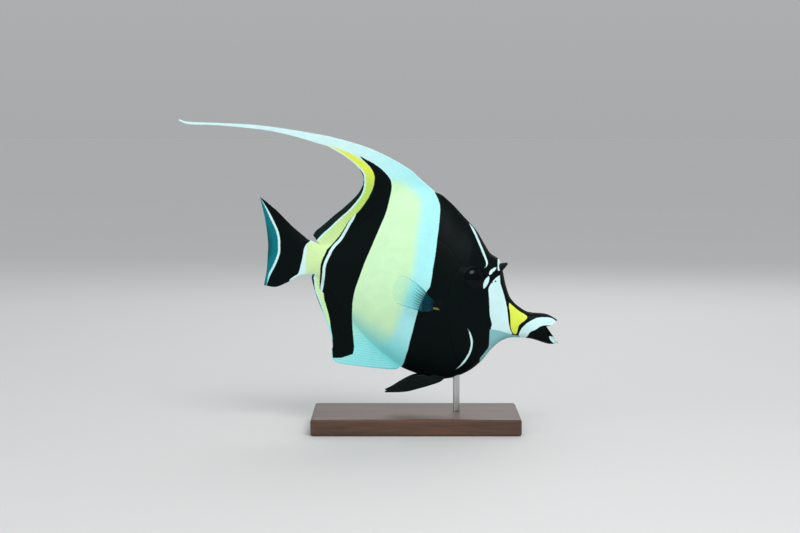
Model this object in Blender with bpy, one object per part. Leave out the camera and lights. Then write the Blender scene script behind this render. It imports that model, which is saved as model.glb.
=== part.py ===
"""Moorish idol, a life-size still model on a plain display stand.

The fish is drawn level, in millimetres. x runs forward from the root of the
tail fin, z up and y to the fish's left. An empty then tips it nose down and
lifts it over the stand. Each piece is a slab: a patch of the side view, closed
by the same sheet of triangles on both sides, half a thickness from its middle.
"""
import math

import bmesh
import bpy
import numpy as np
from mathutils import Matrix, Vector

MM = 0.001

# Pose: the fish swims level but tipped nose down, and its lowest fin clears the base
PITCH_DEG = 13.5
FIN_CLEARANCE = 12.0
GAP = 0.3

# Outline of the body without its fins, as (x, z) from the tail to the snout
BACK = [(1.0, 11.2), (5.5, 10.6), (8.5, 9.9), (13.4, 11.4), (19.6, 16.5), (26.6, 25.5),
        (33.4, 35.8), (40.4, 44.9), (48.2, 51.4), (59.6, 56.0), (69.7, 56.5), (78.6, 52.8),
        (88.2, 46.5), (97.0, 40.6), (104.4, 33.1), (109.1, 28.7), (114.6, 26.6), (116.6, 24.0),
        (118.5, 20.4), (122.2, 12.7), (127.0, 5.5), (132.9, 1.7), (139.6, -0.2), (150.3, 1.1),
        (157.3, -0.6)]
BELLY = [(1.0, -10.3), (4.5, -8.9), (8.7, -8.2), (17.2, -12.5), (27.3, -21.2), (38.1, -30.3),
         (50.0, -38.6), (62.0, -45.2), (72.3, -49.5), (85.0, -51.4), (95.0, -51.8),
         (103.2, -49.3), (108.6, -46.1), (113.7, -41.8), (119.3, -34.3), (123.0, -26.6),
         (127.1, -20.9), (132.4, -17.2), (137.7, -15.8), (146.0, -14.8), (155.5, -15.4),
         (161.2, -13.9)]

# Half the width of the body, the height at which it is widest, and how blunt its section is
GIRTH = [(1.0, 2.0), (4.0, 2.7), (12.0, 4.3), (21.0, 6.4), (33.0, 9.2), (47.0, 12.0),
         (62.0, 14.2), (75.0, 15.3), (88.0, 15.6), (96.0, 15.0), (103.0, 13.4), (110.0, 11.2),
         (116.0, 9.4), (121.0, 7.6), (127.0, 6.1), (133.0, 5.3), (140.0, 4.9), (148.0, 4.6),
         (153.0, 4.0), (155.5, 3.0), (156.8, 1.9), (157.4, 0.9)]
JAW_GIRTH = [(140.0, 4.9), (150.0, 4.6), (155.0, 4.2), (158.5, 3.2), (160.3, 2.2), (161.3, 0.9)]
LEVEL = [(1.0, 0.5), (12.0, 1.0), (33.0, 3.0), (62.0, 3.0), (88.0, -2.0), (103.0, 1.0),
         (116.0, -2.0), (127.0, -7.0), (140.0, -7.5), (152.0, -6.5), (157.4, -6.0), (161.4, -11.0)]
BLUNTNESS = [(1.0, 0.6), (12.0, 0.68), (33.0, 0.8), (70.0, 0.82), (90.0, 0.7), (103.0, 0.56),
             (118.0, 0.5), (161.4, 0.5)]
KEEL = [(1.0, 1.4), (10.0, 0.8), (100.0, 0.8), (116.0, 1.0), (161.4, 0.8)]

# Rows of points from belly to back
BODY_ROWS = 18

# Cuts between the pieces of the body
TAIL_ROOT_X = 1.0
STALK_X = 14.0
TRUNK_X = 52.0
NECK_BACK_X = 78.6
NECK_BELLY_X = 116.0
GILL_BULGE = 9.0
GILL_LIFT = 0.5

# Where the forehead and the snout begin, above and below
BROW_X = 116.6
THROAT_X = 125.0
SNOUT_X = 130.0
CHIN_X = 136.0

# Mouth, open a little
JAW_SEAM = [(141.6, -15.2), (142.6, -13.6), (144.2, -11.2), (146.6, -9.0), (149.2, -6.8),
            (151.8, -5.4)]
MOUTH_ROOF = [(151.8, -5.4), (154.2, -4.5), (157.0, -2.0)]
MOUTH_FLOOR = [(152.4, -6.3), (155.1, -8.4), (157.4, -10.4), (160.5, -12.8)]
LIP_RADIUS = 0.65

# Eye, its raised rim, the nostrils before it and the horn over it
EYE_CENTRE = (103.0, 13.0)
EYE_RADIUS = 7.5
EYE_DEPTH = 4.2
EYE_SUNK = 2.7
RIM_RADIUS = 6.5
RIM_THICKNESS = 0.5
NOSTRILS = [(116.1, 13.4, 0.5), (114.4, 12.3, 0.35)]
HORN_ROOT = (115.0, 4.0, 20.6)
HORN_TIP = (120.7, 4.4, 25.8)
HORN_RADIUS = 3.1

# Fins: outlines as (x, z), half thickness at the root and at the edge, height of a ray
FIN_ROOT = 0.8
FIN_EDGE = 0.25
RAY_HEIGHT = 0.3
RIDGE_ANGLE = 6.0
DORSAL_FRONT_X = 69.0
DORSAL_SPLIT_X = 42.0
DORSAL_SPLIT_MIDDLE = (34.0, 49.8)
DORSAL_REAR_X = 9.0
DORSAL_LEAD = [(57.8, 62.3), (50.8, 66.2), (37.4, 70.4), (24.4, 73.1), (11.8, 74.2), (-2.0, 74.5)]
DORSAL_EDGE_FRONT = [(-2.0, 68.8), (2.8, 67.9), (11.5, 65.1), (19.9, 60.9), (24.5, 55.9),
                     (25.5, 51.4)]
DORSAL_EDGE_REAR = [(25.4, 51.1), (23.6, 44.9), (17.9, 35.8), (13.2, 29.7), (9.5, 24.5),
                    (6.7, 20.7), (4.4, 17.7), (3.4, 14.8)]
STREAMER_TOP = [(-2.0, 74.5), (-24.9, 73.0), (-46.0, 70.7), (-66.7, 66.9), (-84.3, 63.4),
                (-90.6, 63.5)]
STREAMER_BOTTOM = [(-2.0, 68.8), (-18.0, 69.7), (-30.3, 69.8), (-42.5, 69.0), (-66.4, 65.7),
                   (-84.3, 62.2), (-90.5, 62.9)]
ANAL_FRONT_X = 72.0
ANAL_REAR_X = 9.4
ANAL_LEAD = [(70.0, -51.8), (61.0, -53.6), (49.0, -55.2), (37.0, -56.5), (31.9, -55.4)]
ANAL_EDGE = [(31.9, -55.4), (30.4, -50.7), (30.0, -46.5), (26.7, -39.3), (20.0, -29.1),
             (14.4, -21.2), (9.5, -12.5), (8.2, -9.2)]
TAIL_TOP = [(-4.5, 13.9), (-10.2, 16.9), (-17.6, 21.7), (-24.8, 26.1), (-33.0, 29.7)]
TAIL_BOTTOM = [(-1.4, -12.4), (-6.4, -17.0), (-11.7, -20.6), (-18.4, -21.2)]
TAIL_EDGE = [(-33.0, 29.7), (-30.6, 25.3), (-25.9, 15.4), (-21.8, 4.1), (-20.2, -4.0),
             (-18.9, -12.0), (-18.4, -21.2)]
PECTORAL_ROOT = [(84.9, -10.3), (84.2, -6.7)]
PECTORAL_TOP = [(79.6, -3.9), (75.9, -1.0), (70.2, 2.3), (64.6, 4.7), (60.8, 5.3), (58.4, 4.0)]
PECTORAL_BOTTOM = [(79.8, -12.4), (75.1, -12.9), (70.5, -12.3), (66.2, -11.9), (61.3, -11.2)]
PECTORAL_EDGE = [(61.3, -11.2), (58.8, -8.3), (57.1, -3.8), (57.1, 1.0), (58.4, 4.0)]
PECTORAL_SLOT = [[(77.5, -13.8), (77.5, -1.0)], [(85.6, -11.2), (85.0, -5.8)]]
PECTORAL_SPREAD_DEG = 24.0
PELVIC_ROOT = [(101.0, -47.2), (94.0, -49.0)]
PELVIC_FRONT = [(98.2, -52.3), (92.5, -56.2), (87.1, -59.3), (78.8, -63.5), (67.2, -66.6)]
PELVIC_REAR = [(91.2, -51.2), (87.0, -51.5), (83.0, -52.5), (79.5, -54.6), (74.5, -59.0), (70.6, -63.0),
               (67.0, -66.0)]
PELVIC_SLOT = [[(88.6, -53.0), (93.4, -48.5)], [(99.2, -52.5), (101.6, -46.7)]]
PELVIC_SIDE = 2.3
PELVIC_SPREAD_DEG = 5.0

# How many rays each fin shows
RAYS = {"dorsal_fin_front": 12, "dorsal_fin_rear": 12, "dorsal_streamer": 3, "anal_fin": 15,
        "tail_fin": 14, "pectoral_fin": 10, "pelvic_fin": 5}

# Stand
BASE_LENGTH = 124.0
BASE_WIDTH = 72.0
BASE_HEIGHT = 10.0
BASE_BEVEL = 1.5
BASE_CENTRE_X = 28.0
ROD_X = 52.5
ROD_RADIUS = 2.0
ROD_SUNK = 5.0

BLACK = (0.012, 0.016, 0.024)
WHITE = (0.82, 0.90, 0.92)
YELLOW = (0.90, 0.82, 0.22)
LEMON = (0.86, 0.90, 0.55)
CLEAR = (0.55, 0.72, 0.70)
METAL = (0.55, 0.56, 0.58)


def material(name, colour, roughness=0.45, metallic=0.0):
    """A plain finish of one colour."""
    made = bpy.data.materials.new(name)
    made.use_nodes = True
    shader = made.node_tree.nodes["Principled BSDF"]
    shader.inputs["Base Color"].default_value = (*colour, 1.0)
    shader.inputs["Roughness"].default_value = roughness
    shader.inputs["Metallic"].default_value = metallic
    return made


def table(points):
    """A smooth curve through (x, value) pairs that never overshoots them."""
    xs, ys = np.array(points, float).T
    steps = np.diff(ys) / np.diff(xs)
    same_way = steps[:-1] * steps[1:] > 0
    total = np.where(same_way, steps[:-1] + steps[1:], 1.0)
    inner = np.where(same_way, 2.0 * steps[:-1] * steps[1:] / total, 0.0)
    slopes = np.concatenate([steps[:1], inner, steps[-1:]])

    def value(x):
        x = np.clip(x, xs[0], xs[-1])
        k = np.clip(np.searchsorted(xs, x) - 1, 0, len(xs) - 2)
        width = xs[k + 1] - xs[k]
        f = (x - xs[k]) / width
        rise = ys[k + 1] - ys[k]
        start, end = slopes[k] * width, slopes[k + 1] * width
        return ys[k] + f * (start + f * (3.0 * rise - 2.0 * start - end + f * (start + end - 2.0 * rise)))

    return value


back = table(BACK)
belly = table(BELLY)
girth = table(GIRTH)
jaw_girth = table(JAW_GIRTH)
level = table(LEVEL)
bluntness = table(BLUNTNESS)
keel = table(KEEL)


def half_width(x, z, widest=girth):
    """Half the body's width at a point of its side view."""
    middle = level(x)
    above = (z - middle) / np.maximum(back(x) - middle, 0.1)
    below = (middle - z) / np.maximum(middle - belly(x), 0.1)
    away = np.clip(np.maximum(above, below), 0.0, 1.0)
    edge = np.minimum(keel(x), widest(x))
    return edge + (widest(x) - edge) * (1.0 - away ** 2) ** bluntness(x)


def smooth(points, count, spread=False):
    """Points at even steps, or closer at both ends, along a smooth curve through a few."""
    points = np.array(points, float)
    ends = np.vstack([2 * points[0] - points[1], points, 2 * points[-1] - points[-2]])
    fine = []
    for a, b, c, d in zip(ends, ends[1:], ends[2:], ends[3:]):
        for f in np.linspace(0.0, 1.0, 12, endpoint=False):
            fine.append(0.5 * (2 * b + (c - a) * f + (2 * a - 5 * b + 4 * c - d) * f ** 2
                               + (3 * b - a - 3 * c + d) * f ** 3))
    fine = np.array(fine + [points[-1]])
    run = np.concatenate([[0.0], np.cumsum(np.linalg.norm(np.diff(fine, axis=0), axis=1))])
    f = np.linspace(0.0, 1.0, count + 1)
    if spread:
        f = 0.5 - 0.5 * np.cos(math.pi * f)
    return np.stack([np.interp(f * run[-1], run, column) for column in fine.T], axis=1)


def chain(*curves):
    """Curves end to end as one line, its corners kept."""
    return np.vstack([curves[0]] + [curve[1:] for curve in curves[1:]])


def along(outline, start, end, count, out=0.0):
    """Points on the back or belly between two x values, moved off it by a small distance."""
    x = np.linspace(start, end, 10 * count + 1)
    z = outline(x)
    slope = np.gradient(z, x)
    side = 1.0 if outline is back else -1.0
    length = np.sqrt(1.0 + slope ** 2)
    line = np.stack([x - side * slope / length * out, z + side * out / length], axis=1)
    return smooth(line, count)


def progress(line):
    """How far along a line each of its points is, from 0 to 1."""
    run = np.concatenate([[0.0], np.cumsum(np.linalg.norm(np.diff(line, axis=0), axis=1))])
    return run / run[-1]


def patch(low, high, rear, front):
    """A grid of side view points that fills the space between four lines."""
    u = ((progress(low) + progress(high)) / 2)[:, None, None]
    v = ((progress(rear) + progress(front)) / 2)[None, :, None]
    across = (1 - v) * low[:, None] + v * high[:, None] + (1 - u) * rear[None] + u * front[None]
    corners = ((1 - u) * (1 - v) * low[0] + u * (1 - v) * low[-1]
               + (1 - u) * v * high[0] + u * v * high[-1])
    return across - corners


def finished(name, mesh, finish, parent, sharp=40.0):
    """An object of a mesh, smooth but for its edges that are sharper than an angle."""
    mesh.materials.clear()
    mesh.materials.append(finish)
    thing = bpy.data.objects.new(name, mesh)
    bpy.context.collection.objects.link(thing)
    thing.parent = parent
    mesh.shade_smooth()
    mesh.set_sharp_from_angle(angle=math.radians(sharp))
    return thing


def slab(name, grid, half, finish, parent, middle=None, sharp=40.0):
    """A closed piece with the grid on both of its sides, half a thickness from its middle."""
    middle = np.zeros(half.shape) if middle is None else middle
    rows, columns = half.shape
    shape = bmesh.new()
    sides = []
    for side in (1.0, -1.0):
        sides.append([[shape.verts.new((grid[i, j, 0] * MM, (middle[i, j] + side * half[i, j]) * MM,
                                        grid[i, j, 1] * MM)) for j in range(columns)]
                      for i in range(rows)])
    for points in sides:
        for i in range(rows - 1):
            for j in range(columns - 1):
                a, b = points[i][j], points[i + 1][j]
                c, d = points[i + 1][j + 1], points[i][j + 1]
                shape.faces.new((a, b, c))
                shape.faces.new((a, c, d))
    rim = [(i, 0) for i in range(rows - 1)] + [(rows - 1, j) for j in range(columns - 1)]
    rim += [(i, columns - 1) for i in range(rows - 1, 0, -1)] + [(0, j) for j in range(columns - 1, 0, -1)]
    for (i, j), (k, m) in zip(rim, rim[1:] + rim[:1]):
        shape.faces.new((sides[0][i][j], sides[0][k][m], sides[1][k][m], sides[1][i][j]))
    bmesh.ops.recalc_face_normals(shape, faces=shape.faces)
    bmesh.ops.triangulate(shape, faces=[face for face in shape.faces if len(face.verts) > 3])
    mesh = bpy.data.meshes.new(name)
    shape.to_mesh(mesh)
    shape.free()
    return finished(name, mesh, finish, parent, sharp)


def largest_surface(mesh):
    """Keep only the largest closed surface of a mesh."""
    shape = bmesh.new()
    shape.from_mesh(mesh)
    left = set(shape.faces)
    groups = []
    while left:
        reached = [left.pop()]
        for face in reached:
            for edge in face.edges:
                for near in edge.link_faces:
                    if near in left:
                        left.remove(near)
                        reached.append(near)
        groups.append(reached)
    groups.sort(key=lambda faces: sum(face.calc_area() for face in faces))
    for faces in groups[:-1]:
        bmesh.ops.delete(shape, geom=faces, context="FACES")
    shape.to_mesh(mesh)
    shape.free()


def combine(thing, others, operation):
    """Join pieces to an object, or cut them from it, and remove them."""
    group = bpy.data.collections.new(thing.name + "_" + operation.lower())
    for other in others:
        group.objects.link(other)
    step = thing.modifiers.new("combine", "BOOLEAN")
    step.operation = operation
    step.solver = "EXACT"
    step.operand_type = "COLLECTION"
    step.collection = group
    bpy.context.view_layer.update()
    solid = thing.evaluated_get(bpy.context.evaluated_depsgraph_get())
    mesh = bpy.data.meshes.new_from_object(solid)
    thing.modifiers.remove(step)
    thing.data = mesh
    for other in others:
        bpy.data.objects.remove(other)
    bpy.data.collections.remove(group)
    largest_surface(mesh)
    mesh.shade_smooth()
    mesh.set_sharp_from_angle(angle=math.radians(40))


def turned(name, radii, matrix, finish, parent, segments, rings):
    """A ball with three radii, turned and moved by a matrix."""
    shape = bmesh.new()
    bmesh.ops.create_uvsphere(shape, u_segments=segments, v_segments=rings, radius=1.0)
    size = Matrix.Diagonal((*[radius * MM for radius in radii], 1.0))
    bmesh.ops.transform(shape, matrix=matrix @ size, verts=shape.verts)
    mesh = bpy.data.meshes.new(name)
    shape.to_mesh(mesh)
    shape.free()
    return finished(name, mesh, finish, parent)


def spike(name, root, tip, wide, narrow, finish, parent, segments):
    """A cone or rod between two points."""
    start, end = Vector(root) * MM, Vector(tip) * MM
    way = end - start
    shape = bmesh.new()
    bmesh.ops.create_cone(shape, cap_ends=True, segments=segments, radius1=wide * MM,
                          radius2=narrow * MM, depth=way.length)
    place = Matrix.Translation((start + end) / 2) @ way.to_track_quat("Z", "X").to_matrix().to_4x4()
    bmesh.ops.transform(shape, matrix=place, verts=shape.verts)
    mesh = bpy.data.meshes.new(name)
    shape.to_mesh(mesh)
    shape.free()
    return finished(name, mesh, finish, parent)


def tube(name, centres, radius, finish, parent, closed, sides=6):
    """A bead along a line of points."""
    line = bpy.data.curves.new(name, "CURVE")
    line.dimensions = "3D"
    line.bevel_depth = radius * MM
    line.bevel_resolution = (sides - 4) // 2
    line.use_fill_caps = not closed
    spline = line.splines.new("POLY")
    spline.points.add(len(centres) - 1)
    for point, centre in zip(spline.points, centres):
        point.co = (*(Vector(centre) * MM), 1.0)
    spline.use_cyclic_u = closed
    holder = bpy.data.objects.new(name + "_line", line)
    bpy.context.collection.objects.link(holder)
    bpy.context.view_layer.update()
    mesh = bpy.data.meshes.new_from_object(holder.evaluated_get(bpy.context.evaluated_depsgraph_get()))
    bpy.data.objects.remove(holder)
    return finished(name, mesh, finish, parent)


def cut_line(back_x, belly_x, bulge, shift, count):
    """A cut across the body from belly to back, bowed towards the tail."""
    low = np.array([belly_x + shift, belly(belly_x + shift)])
    high = np.array([back_x + shift, back(back_x + shift)])
    f = 0.5 - 0.5 * np.cos(np.linspace(0.0, math.pi, count + 1))
    line = low + (high - low) * f[:, None]
    line[:, 0] -= bulge * np.sin(math.pi * f) * (1.0 + 0.5 * np.cos(math.pi * f))
    return line


def trunk_piece(name, rear, front, columns, finish, parent):
    """A length of the body between two cuts."""
    low = along(belly, rear[0, 0], front[0, 0], columns)
    high = along(back, rear[-1, 0], front[-1, 0], columns)
    grid = patch(low, high, rear, front)
    return slab(name, grid, half_width(grid[..., 0], grid[..., 1]), finish, parent)


def head(parent, finish):
    """The head with its upper jaw, without the eyes, horns and lower jaw."""
    rear = cut_line(NECK_BACK_X, NECK_BELLY_X, GILL_BULGE, GAP / 2, BODY_ROWS)
    low = chain(along(belly, NECK_BELLY_X + GAP / 2, THROAT_X, 9), along(belly, THROAT_X, CHIN_X, 7),
                along(belly, CHIN_X, JAW_SEAM[0][0], 2), smooth(JAW_SEAM, 6), smooth(MOUTH_ROOF, 4))
    high = chain(along(back, NECK_BACK_X + GAP / 2, BROW_X, 9), along(back, BROW_X, SNOUT_X, 7),
                 along(back, SNOUT_X, BACK[-1][0], 12))
    front = smooth([MOUTH_ROOF[-1], BACK[-1]], BODY_ROWS, spread=True)
    low[0], high[0] = rear[0], rear[-1]
    grid = patch(low, high, rear, front)
    half = half_width(grid[..., 0], grid[..., 1])
    u = np.linspace(0.0, 1.0, grid.shape[0])[:, None]
    v = progress(rear)[None, :]
    cover = np.clip((v - 0.02) / 0.1, 0, 1) * np.clip((0.62 - v) / 0.12, 0, 1)
    half += GILL_LIFT * cover * np.clip(1.0 - u / 0.3, 0.0, 1.0)
    return slab("head", grid, half, finish, parent)


def surface_normal(x, z):
    """Which way the left side of the head faces at a point."""
    step = 0.5
    along_x = (half_width(x + step, z) - half_width(x - step, z)) / (2 * step)
    along_z = (half_width(x, z + step) - half_width(x, z - step)) / (2 * step)
    return Vector((-along_x, 1.0, -along_z)).normalized()


def mirrored(point, side):
    """A point of the left side, or its twin on the right."""
    return Vector((point[0], point[1] * side, point[2]))


def eye_place(side):
    """Where an eye sits: its matrix, with z pointing out of the head."""
    x, z = EYE_CENTRE
    normal = surface_normal(x, z)
    centre = Vector((x, half_width(x, z), z)) - normal * EYE_SUNK
    turn = mirrored(normal, side).to_track_quat("Z", "X").to_matrix().to_4x4()
    return Matrix.Translation(mirrored(centre, side) * MM) @ turn


def eye_rim(side, parent, finish):
    """The raised rim round an eye, lying on the head."""
    points = []
    for turn in np.linspace(0.0, 2 * math.pi, 24, endpoint=False):
        x = EYE_CENTRE[0] + RIM_RADIUS * math.cos(turn)
        z = EYE_CENTRE[1] + RIM_RADIUS * math.sin(turn)
        points.append((x, side * (half_width(x, z) - 0.15), z))
    return tube("rim", points, RIM_THICKNESS, finish, parent, closed=True)


def lip(edge, widest, inset, parent, finish):
    """A bead round the edge of a jaw, from one corner of the mouth to the other."""
    line = smooth(edge, 8)[inset:]
    left = [(x, half_width(x, z, widest) - 0.25, z) for x, z in line]
    tip = (line[-1][0] + 0.1, 0.0, line[-1][1])
    right = [(x, -y, z) for x, y, z in reversed(left)]
    return tube("lip", left + [tip] + right, LIP_RADIUS, finish, parent, closed=False)


def dress_head(thing, parent, finish):
    """Eye rims, sockets, nostrils, horn sockets and the upper lip."""
    rims = [eye_rim(side, parent, finish) for side in (1, -1)]
    combine(thing, rims + [lip(MOUTH_ROOF, girth, 1, parent, finish)], "UNION")
    cutters = []
    for side in (1, -1):
        grown = (EYE_RADIUS + GAP, EYE_RADIUS + GAP, EYE_DEPTH + GAP)
        cutters.append(turned("socket", grown, eye_place(side), finish, parent, 24, 12))
        for x, z, radius in NOSTRILS:
            skin = Vector((x, half_width(x, z), z))
            out = surface_normal(x, z)
            cutters.append(spike("pit", mirrored(skin - out * 1.2, side), mirrored(skin + out, side),
                                 radius, radius, finish, parent, 8))
        root, tip = mirrored(HORN_ROOT, side), mirrored(HORN_TIP, side)
        deeper = root - (tip - root).normalized() * GAP
        cutters.append(spike("pit", deeper, tip, HORN_RADIUS + GAP, 0.3 + GAP, finish, parent, 12))
    combine(thing, cutters, "DIFFERENCE")


def jaw(parent, finish):
    """The lower jaw, with its lip."""
    hinge_x = JAW_SEAM[0][0] + 2 * GAP
    hinge = (hinge_x, belly(hinge_x) + 2 * GAP)
    seam = [hinge] + [(x + GAP, z - GAP) for x, z in JAW_SEAM[1:-1]] + [MOUTH_FLOOR[0]]
    high = chain(smooth(seam, 7), smooth(MOUTH_FLOOR, 7))
    low = along(belly, hinge_x, BELLY[-1][0], 14)
    rear = smooth([low[0], high[0]], 8, spread=True)
    front = smooth([low[-1], high[-1]], 8, spread=True)
    grid = patch(low, high, rear, front)
    half = half_width(grid[..., 0], grid[..., 1], jaw_girth)
    thing = slab("jaw_lower", grid, half, finish, parent)
    combine(thing, [lip(MOUTH_FLOOR, jaw_girth, 3, parent, finish)], "UNION")


def rays(count, columns, root, edge, height=RAY_HEIGHT):
    """Half thickness of a fin: thin at its edge, with a ridge along every ray."""
    v = np.linspace(0.0, 1.0, columns)[None, :]
    ridge = (np.arange(2 * count + 1) % 2)[:, None]
    sheet = edge + (root - edge) * (1.0 - v) ** 1.6
    return sheet + ridge * height * np.clip(v / 0.12, 0, 1) * (1.0 - 0.5 * v)


def fin(name, base, lead, edge, rear, columns, finish, parent, root=FIN_ROOT):
    """A middle fin whose rays run from its base to its edge."""
    count = (len(base) - 1) // 2
    grid = patch(base, edge, lead, rear)
    half = rays(count, columns + 1, root, FIN_EDGE)
    return slab(name, grid, half, finish, parent, sharp=RIDGE_ANGLE)


def dorsal_fins(parent, finish):
    """The dorsal fin in two lengths, and the streamer that its front rays draw out into."""
    count = 2 * RAYS["dorsal_fin_front"]
    base = along(back, DORSAL_FRONT_X, DORSAL_SPLIT_X + GAP / 2, count, GAP)
    on_streamer = count // 4
    lead = smooth([base[0]] + DORSAL_LEAD, 10)
    edge = chain(smooth([DORSAL_LEAD[-1], DORSAL_EDGE_FRONT[0]], on_streamer),
                 smooth(DORSAL_EDGE_FRONT, count - on_streamer))
    rear = smooth([base[-1], DORSAL_SPLIT_MIDDLE, edge[-1]], 10)
    fin("dorsal_fin_front", base, lead, edge, rear, 10, finish, parent)

    count = 2 * RAYS["dorsal_fin_rear"]
    base = along(back, DORSAL_SPLIT_X - GAP / 2, DORSAL_REAR_X, count, GAP)
    edge = smooth(DORSAL_EDGE_REAR, count)
    split = (DORSAL_SPLIT_MIDDLE[0], DORSAL_SPLIT_MIDDLE[1] - GAP)
    lead = smooth([base[0], split, edge[0]], 6)
    rear = smooth([base[-1], edge[-1]], 6)
    fin("dorsal_fin_rear", base, lead, edge, rear, 6, finish, parent)

    count = 2 * RAYS["dorsal_streamer"]
    shift = np.array([GAP, 0.0])
    top = smooth(np.array(STREAMER_TOP) - shift, 15)
    bottom = smooth(np.array(STREAMER_BOTTOM) - shift, 15)
    base = smooth([top[0], bottom[0]], count)
    tip = smooth([top[-1], bottom[-1]], count)
    grid = patch(base, tip, top, bottom)
    slab("dorsal_streamer", grid, rays(count // 2, 16, 0.4, FIN_EDGE, 0.15), finish, parent,
         sharp=RIDGE_ANGLE)


def anal_fin(parent, finish):
    """The fin under the body."""
    count = 2 * RAYS["anal_fin"]
    base = along(belly, ANAL_FRONT_X, ANAL_REAR_X, count, GAP)
    lead = smooth([base[0]] + ANAL_LEAD, 8)
    rear = smooth([base[-1], ANAL_EDGE[-1]], 8)
    fin("anal_fin", base, lead, smooth(ANAL_EDGE, count), rear, 8, finish, parent)


def tail_fin(parent, finish):
    """The tail fin, a shallow crescent."""
    count = 2 * RAYS["tail_fin"]
    x = TAIL_ROOT_X - GAP
    base = smooth([(x, back(TAIL_ROOT_X)), (x, 0.5), (x, belly(TAIL_ROOT_X))], count)
    top = smooth([base[0]] + TAIL_TOP, 8)
    bottom = smooth([base[-1]] + TAIL_BOTTOM, 8)
    grid = patch(base, smooth(TAIL_EDGE, count), top, bottom)
    v = np.linspace(0.0, 1.0, 9)[None, :]
    flesh = half_width(np.full(count + 1, TAIL_ROOT_X), base[:, 1])[:, None] - FIN_EDGE
    ridge = (np.arange(count + 1) % 2)[:, None] * RAY_HEIGHT * (1.0 - 0.5 * v)
    half = FIN_EDGE + flesh * (1.0 - v) ** 2.5 + ridge
    slab("tail_fin", grid, half, finish, parent, sharp=RIDGE_ANGLE)


def pectoral_fin(side, trunk, parent, finish):
    """A fin that fans out from the side of the trunk, its root in a slot."""
    count = 2 * RAYS["pectoral_fin"]
    base = smooth(PECTORAL_ROOT, count)
    bottom = smooth([PECTORAL_ROOT[0]] + PECTORAL_BOTTOM, 7)
    top = smooth([PECTORAL_ROOT[1]] + PECTORAL_TOP, 7)
    grid = patch(base, smooth(PECTORAL_EDGE, count), bottom, top)
    root_x, root_z = np.mean(PECTORAL_ROOT, axis=0)
    root_y = half_width(root_x, root_z) - 1.0
    slope = math.tan(math.radians(PECTORAL_SPREAD_DEG))
    name = "pectoral_fin_" + ("left" if side > 0 else "right")
    spread = side * (root_y + (root_x - grid[..., 0]) * slope)
    slab(name, grid, rays(count // 2, 8, 0.5, FIN_EDGE, 0.2), finish, parent, spread, RIDGE_ANGLE)

    slot = np.array(PECTORAL_SLOT)
    spread = side * (root_y + (root_x - slot[..., 0]) * slope)
    cutter = slab("slot", slot, np.full((2, 2), 0.5 + RAY_HEIGHT + GAP), finish, parent, spread)
    combine(trunk, [cutter], "DIFFERENCE")


def pelvic_fin(side, trunk, parent, finish):
    """A pointed fin under the belly, its root in a slot."""
    count = 2 * RAYS["pelvic_fin"]
    base = smooth(PELVIC_ROOT, count)
    front = smooth([PELVIC_ROOT[0]] + PELVIC_FRONT, 9)
    rear = smooth([PELVIC_ROOT[1]] + PELVIC_REAR, 9)
    tip = smooth([PELVIC_FRONT[-1], PELVIC_REAR[-1]], count)
    grid = patch(base, tip, front, rear)
    slope = math.tan(math.radians(PELVIC_SPREAD_DEG))
    spread = side * (PELVIC_SIDE + (PELVIC_ROOT[0][0] - grid[..., 0]) * slope)
    name = "pelvic_fin_" + ("left" if side > 0 else "right")
    slab(name, grid, rays(count // 2, 10, 0.6, FIN_EDGE), finish, parent, spread, RIDGE_ANGLE)

    slot = np.array(PELVIC_SLOT)
    spread = side * (PELVIC_SIDE + (PELVIC_ROOT[0][0] - slot[..., 0]) * slope)
    cutter = slab("slot", slot, np.full((2, 2), 0.6 + RAY_HEIGHT + GAP), finish, parent, spread)
    combine(trunk, [cutter], "DIFFERENCE")


def world(point):
    """Where a level point of the fish lies in the tipped pose, before it is lifted."""
    x, z = point
    pitch = math.radians(PITCH_DEG)
    return (x * math.cos(pitch) + z * math.sin(pitch), z * math.cos(pitch) - x * math.sin(pitch))


def fish_place():
    """An empty that tips the fish and lifts it over the base."""
    rear, front = world(STREAMER_TOP[-1])[0], world(BELLY[-1])[0]
    lowest = world(PELVIC_FRONT[-1])[1]
    holder = bpy.data.objects.new("fish", None)
    bpy.context.collection.objects.link(holder)
    holder.location = (-(rear + front) / 2 * MM, 0.0, (BASE_HEIGHT + FIN_CLEARANCE - lowest) * MM)
    holder.rotation_euler = (0.0, math.radians(PITCH_DEG), 0.0)
    bpy.context.view_layer.update()
    return holder


def belly_above(x, holder):
    """Height of the belly over a point of the base."""
    pitch = math.radians(PITCH_DEG)
    level_x = np.linspace(BELLY[0][0], BELLY[-1][0], 1000)
    level_z = belly(level_x)
    across = level_x * math.cos(pitch) + level_z * math.sin(pitch) + holder.location.x / MM
    height = level_z * math.cos(pitch) - level_x * math.sin(pitch) + holder.location.z / MM
    return height[np.argmin(np.abs(across - x))]


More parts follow.
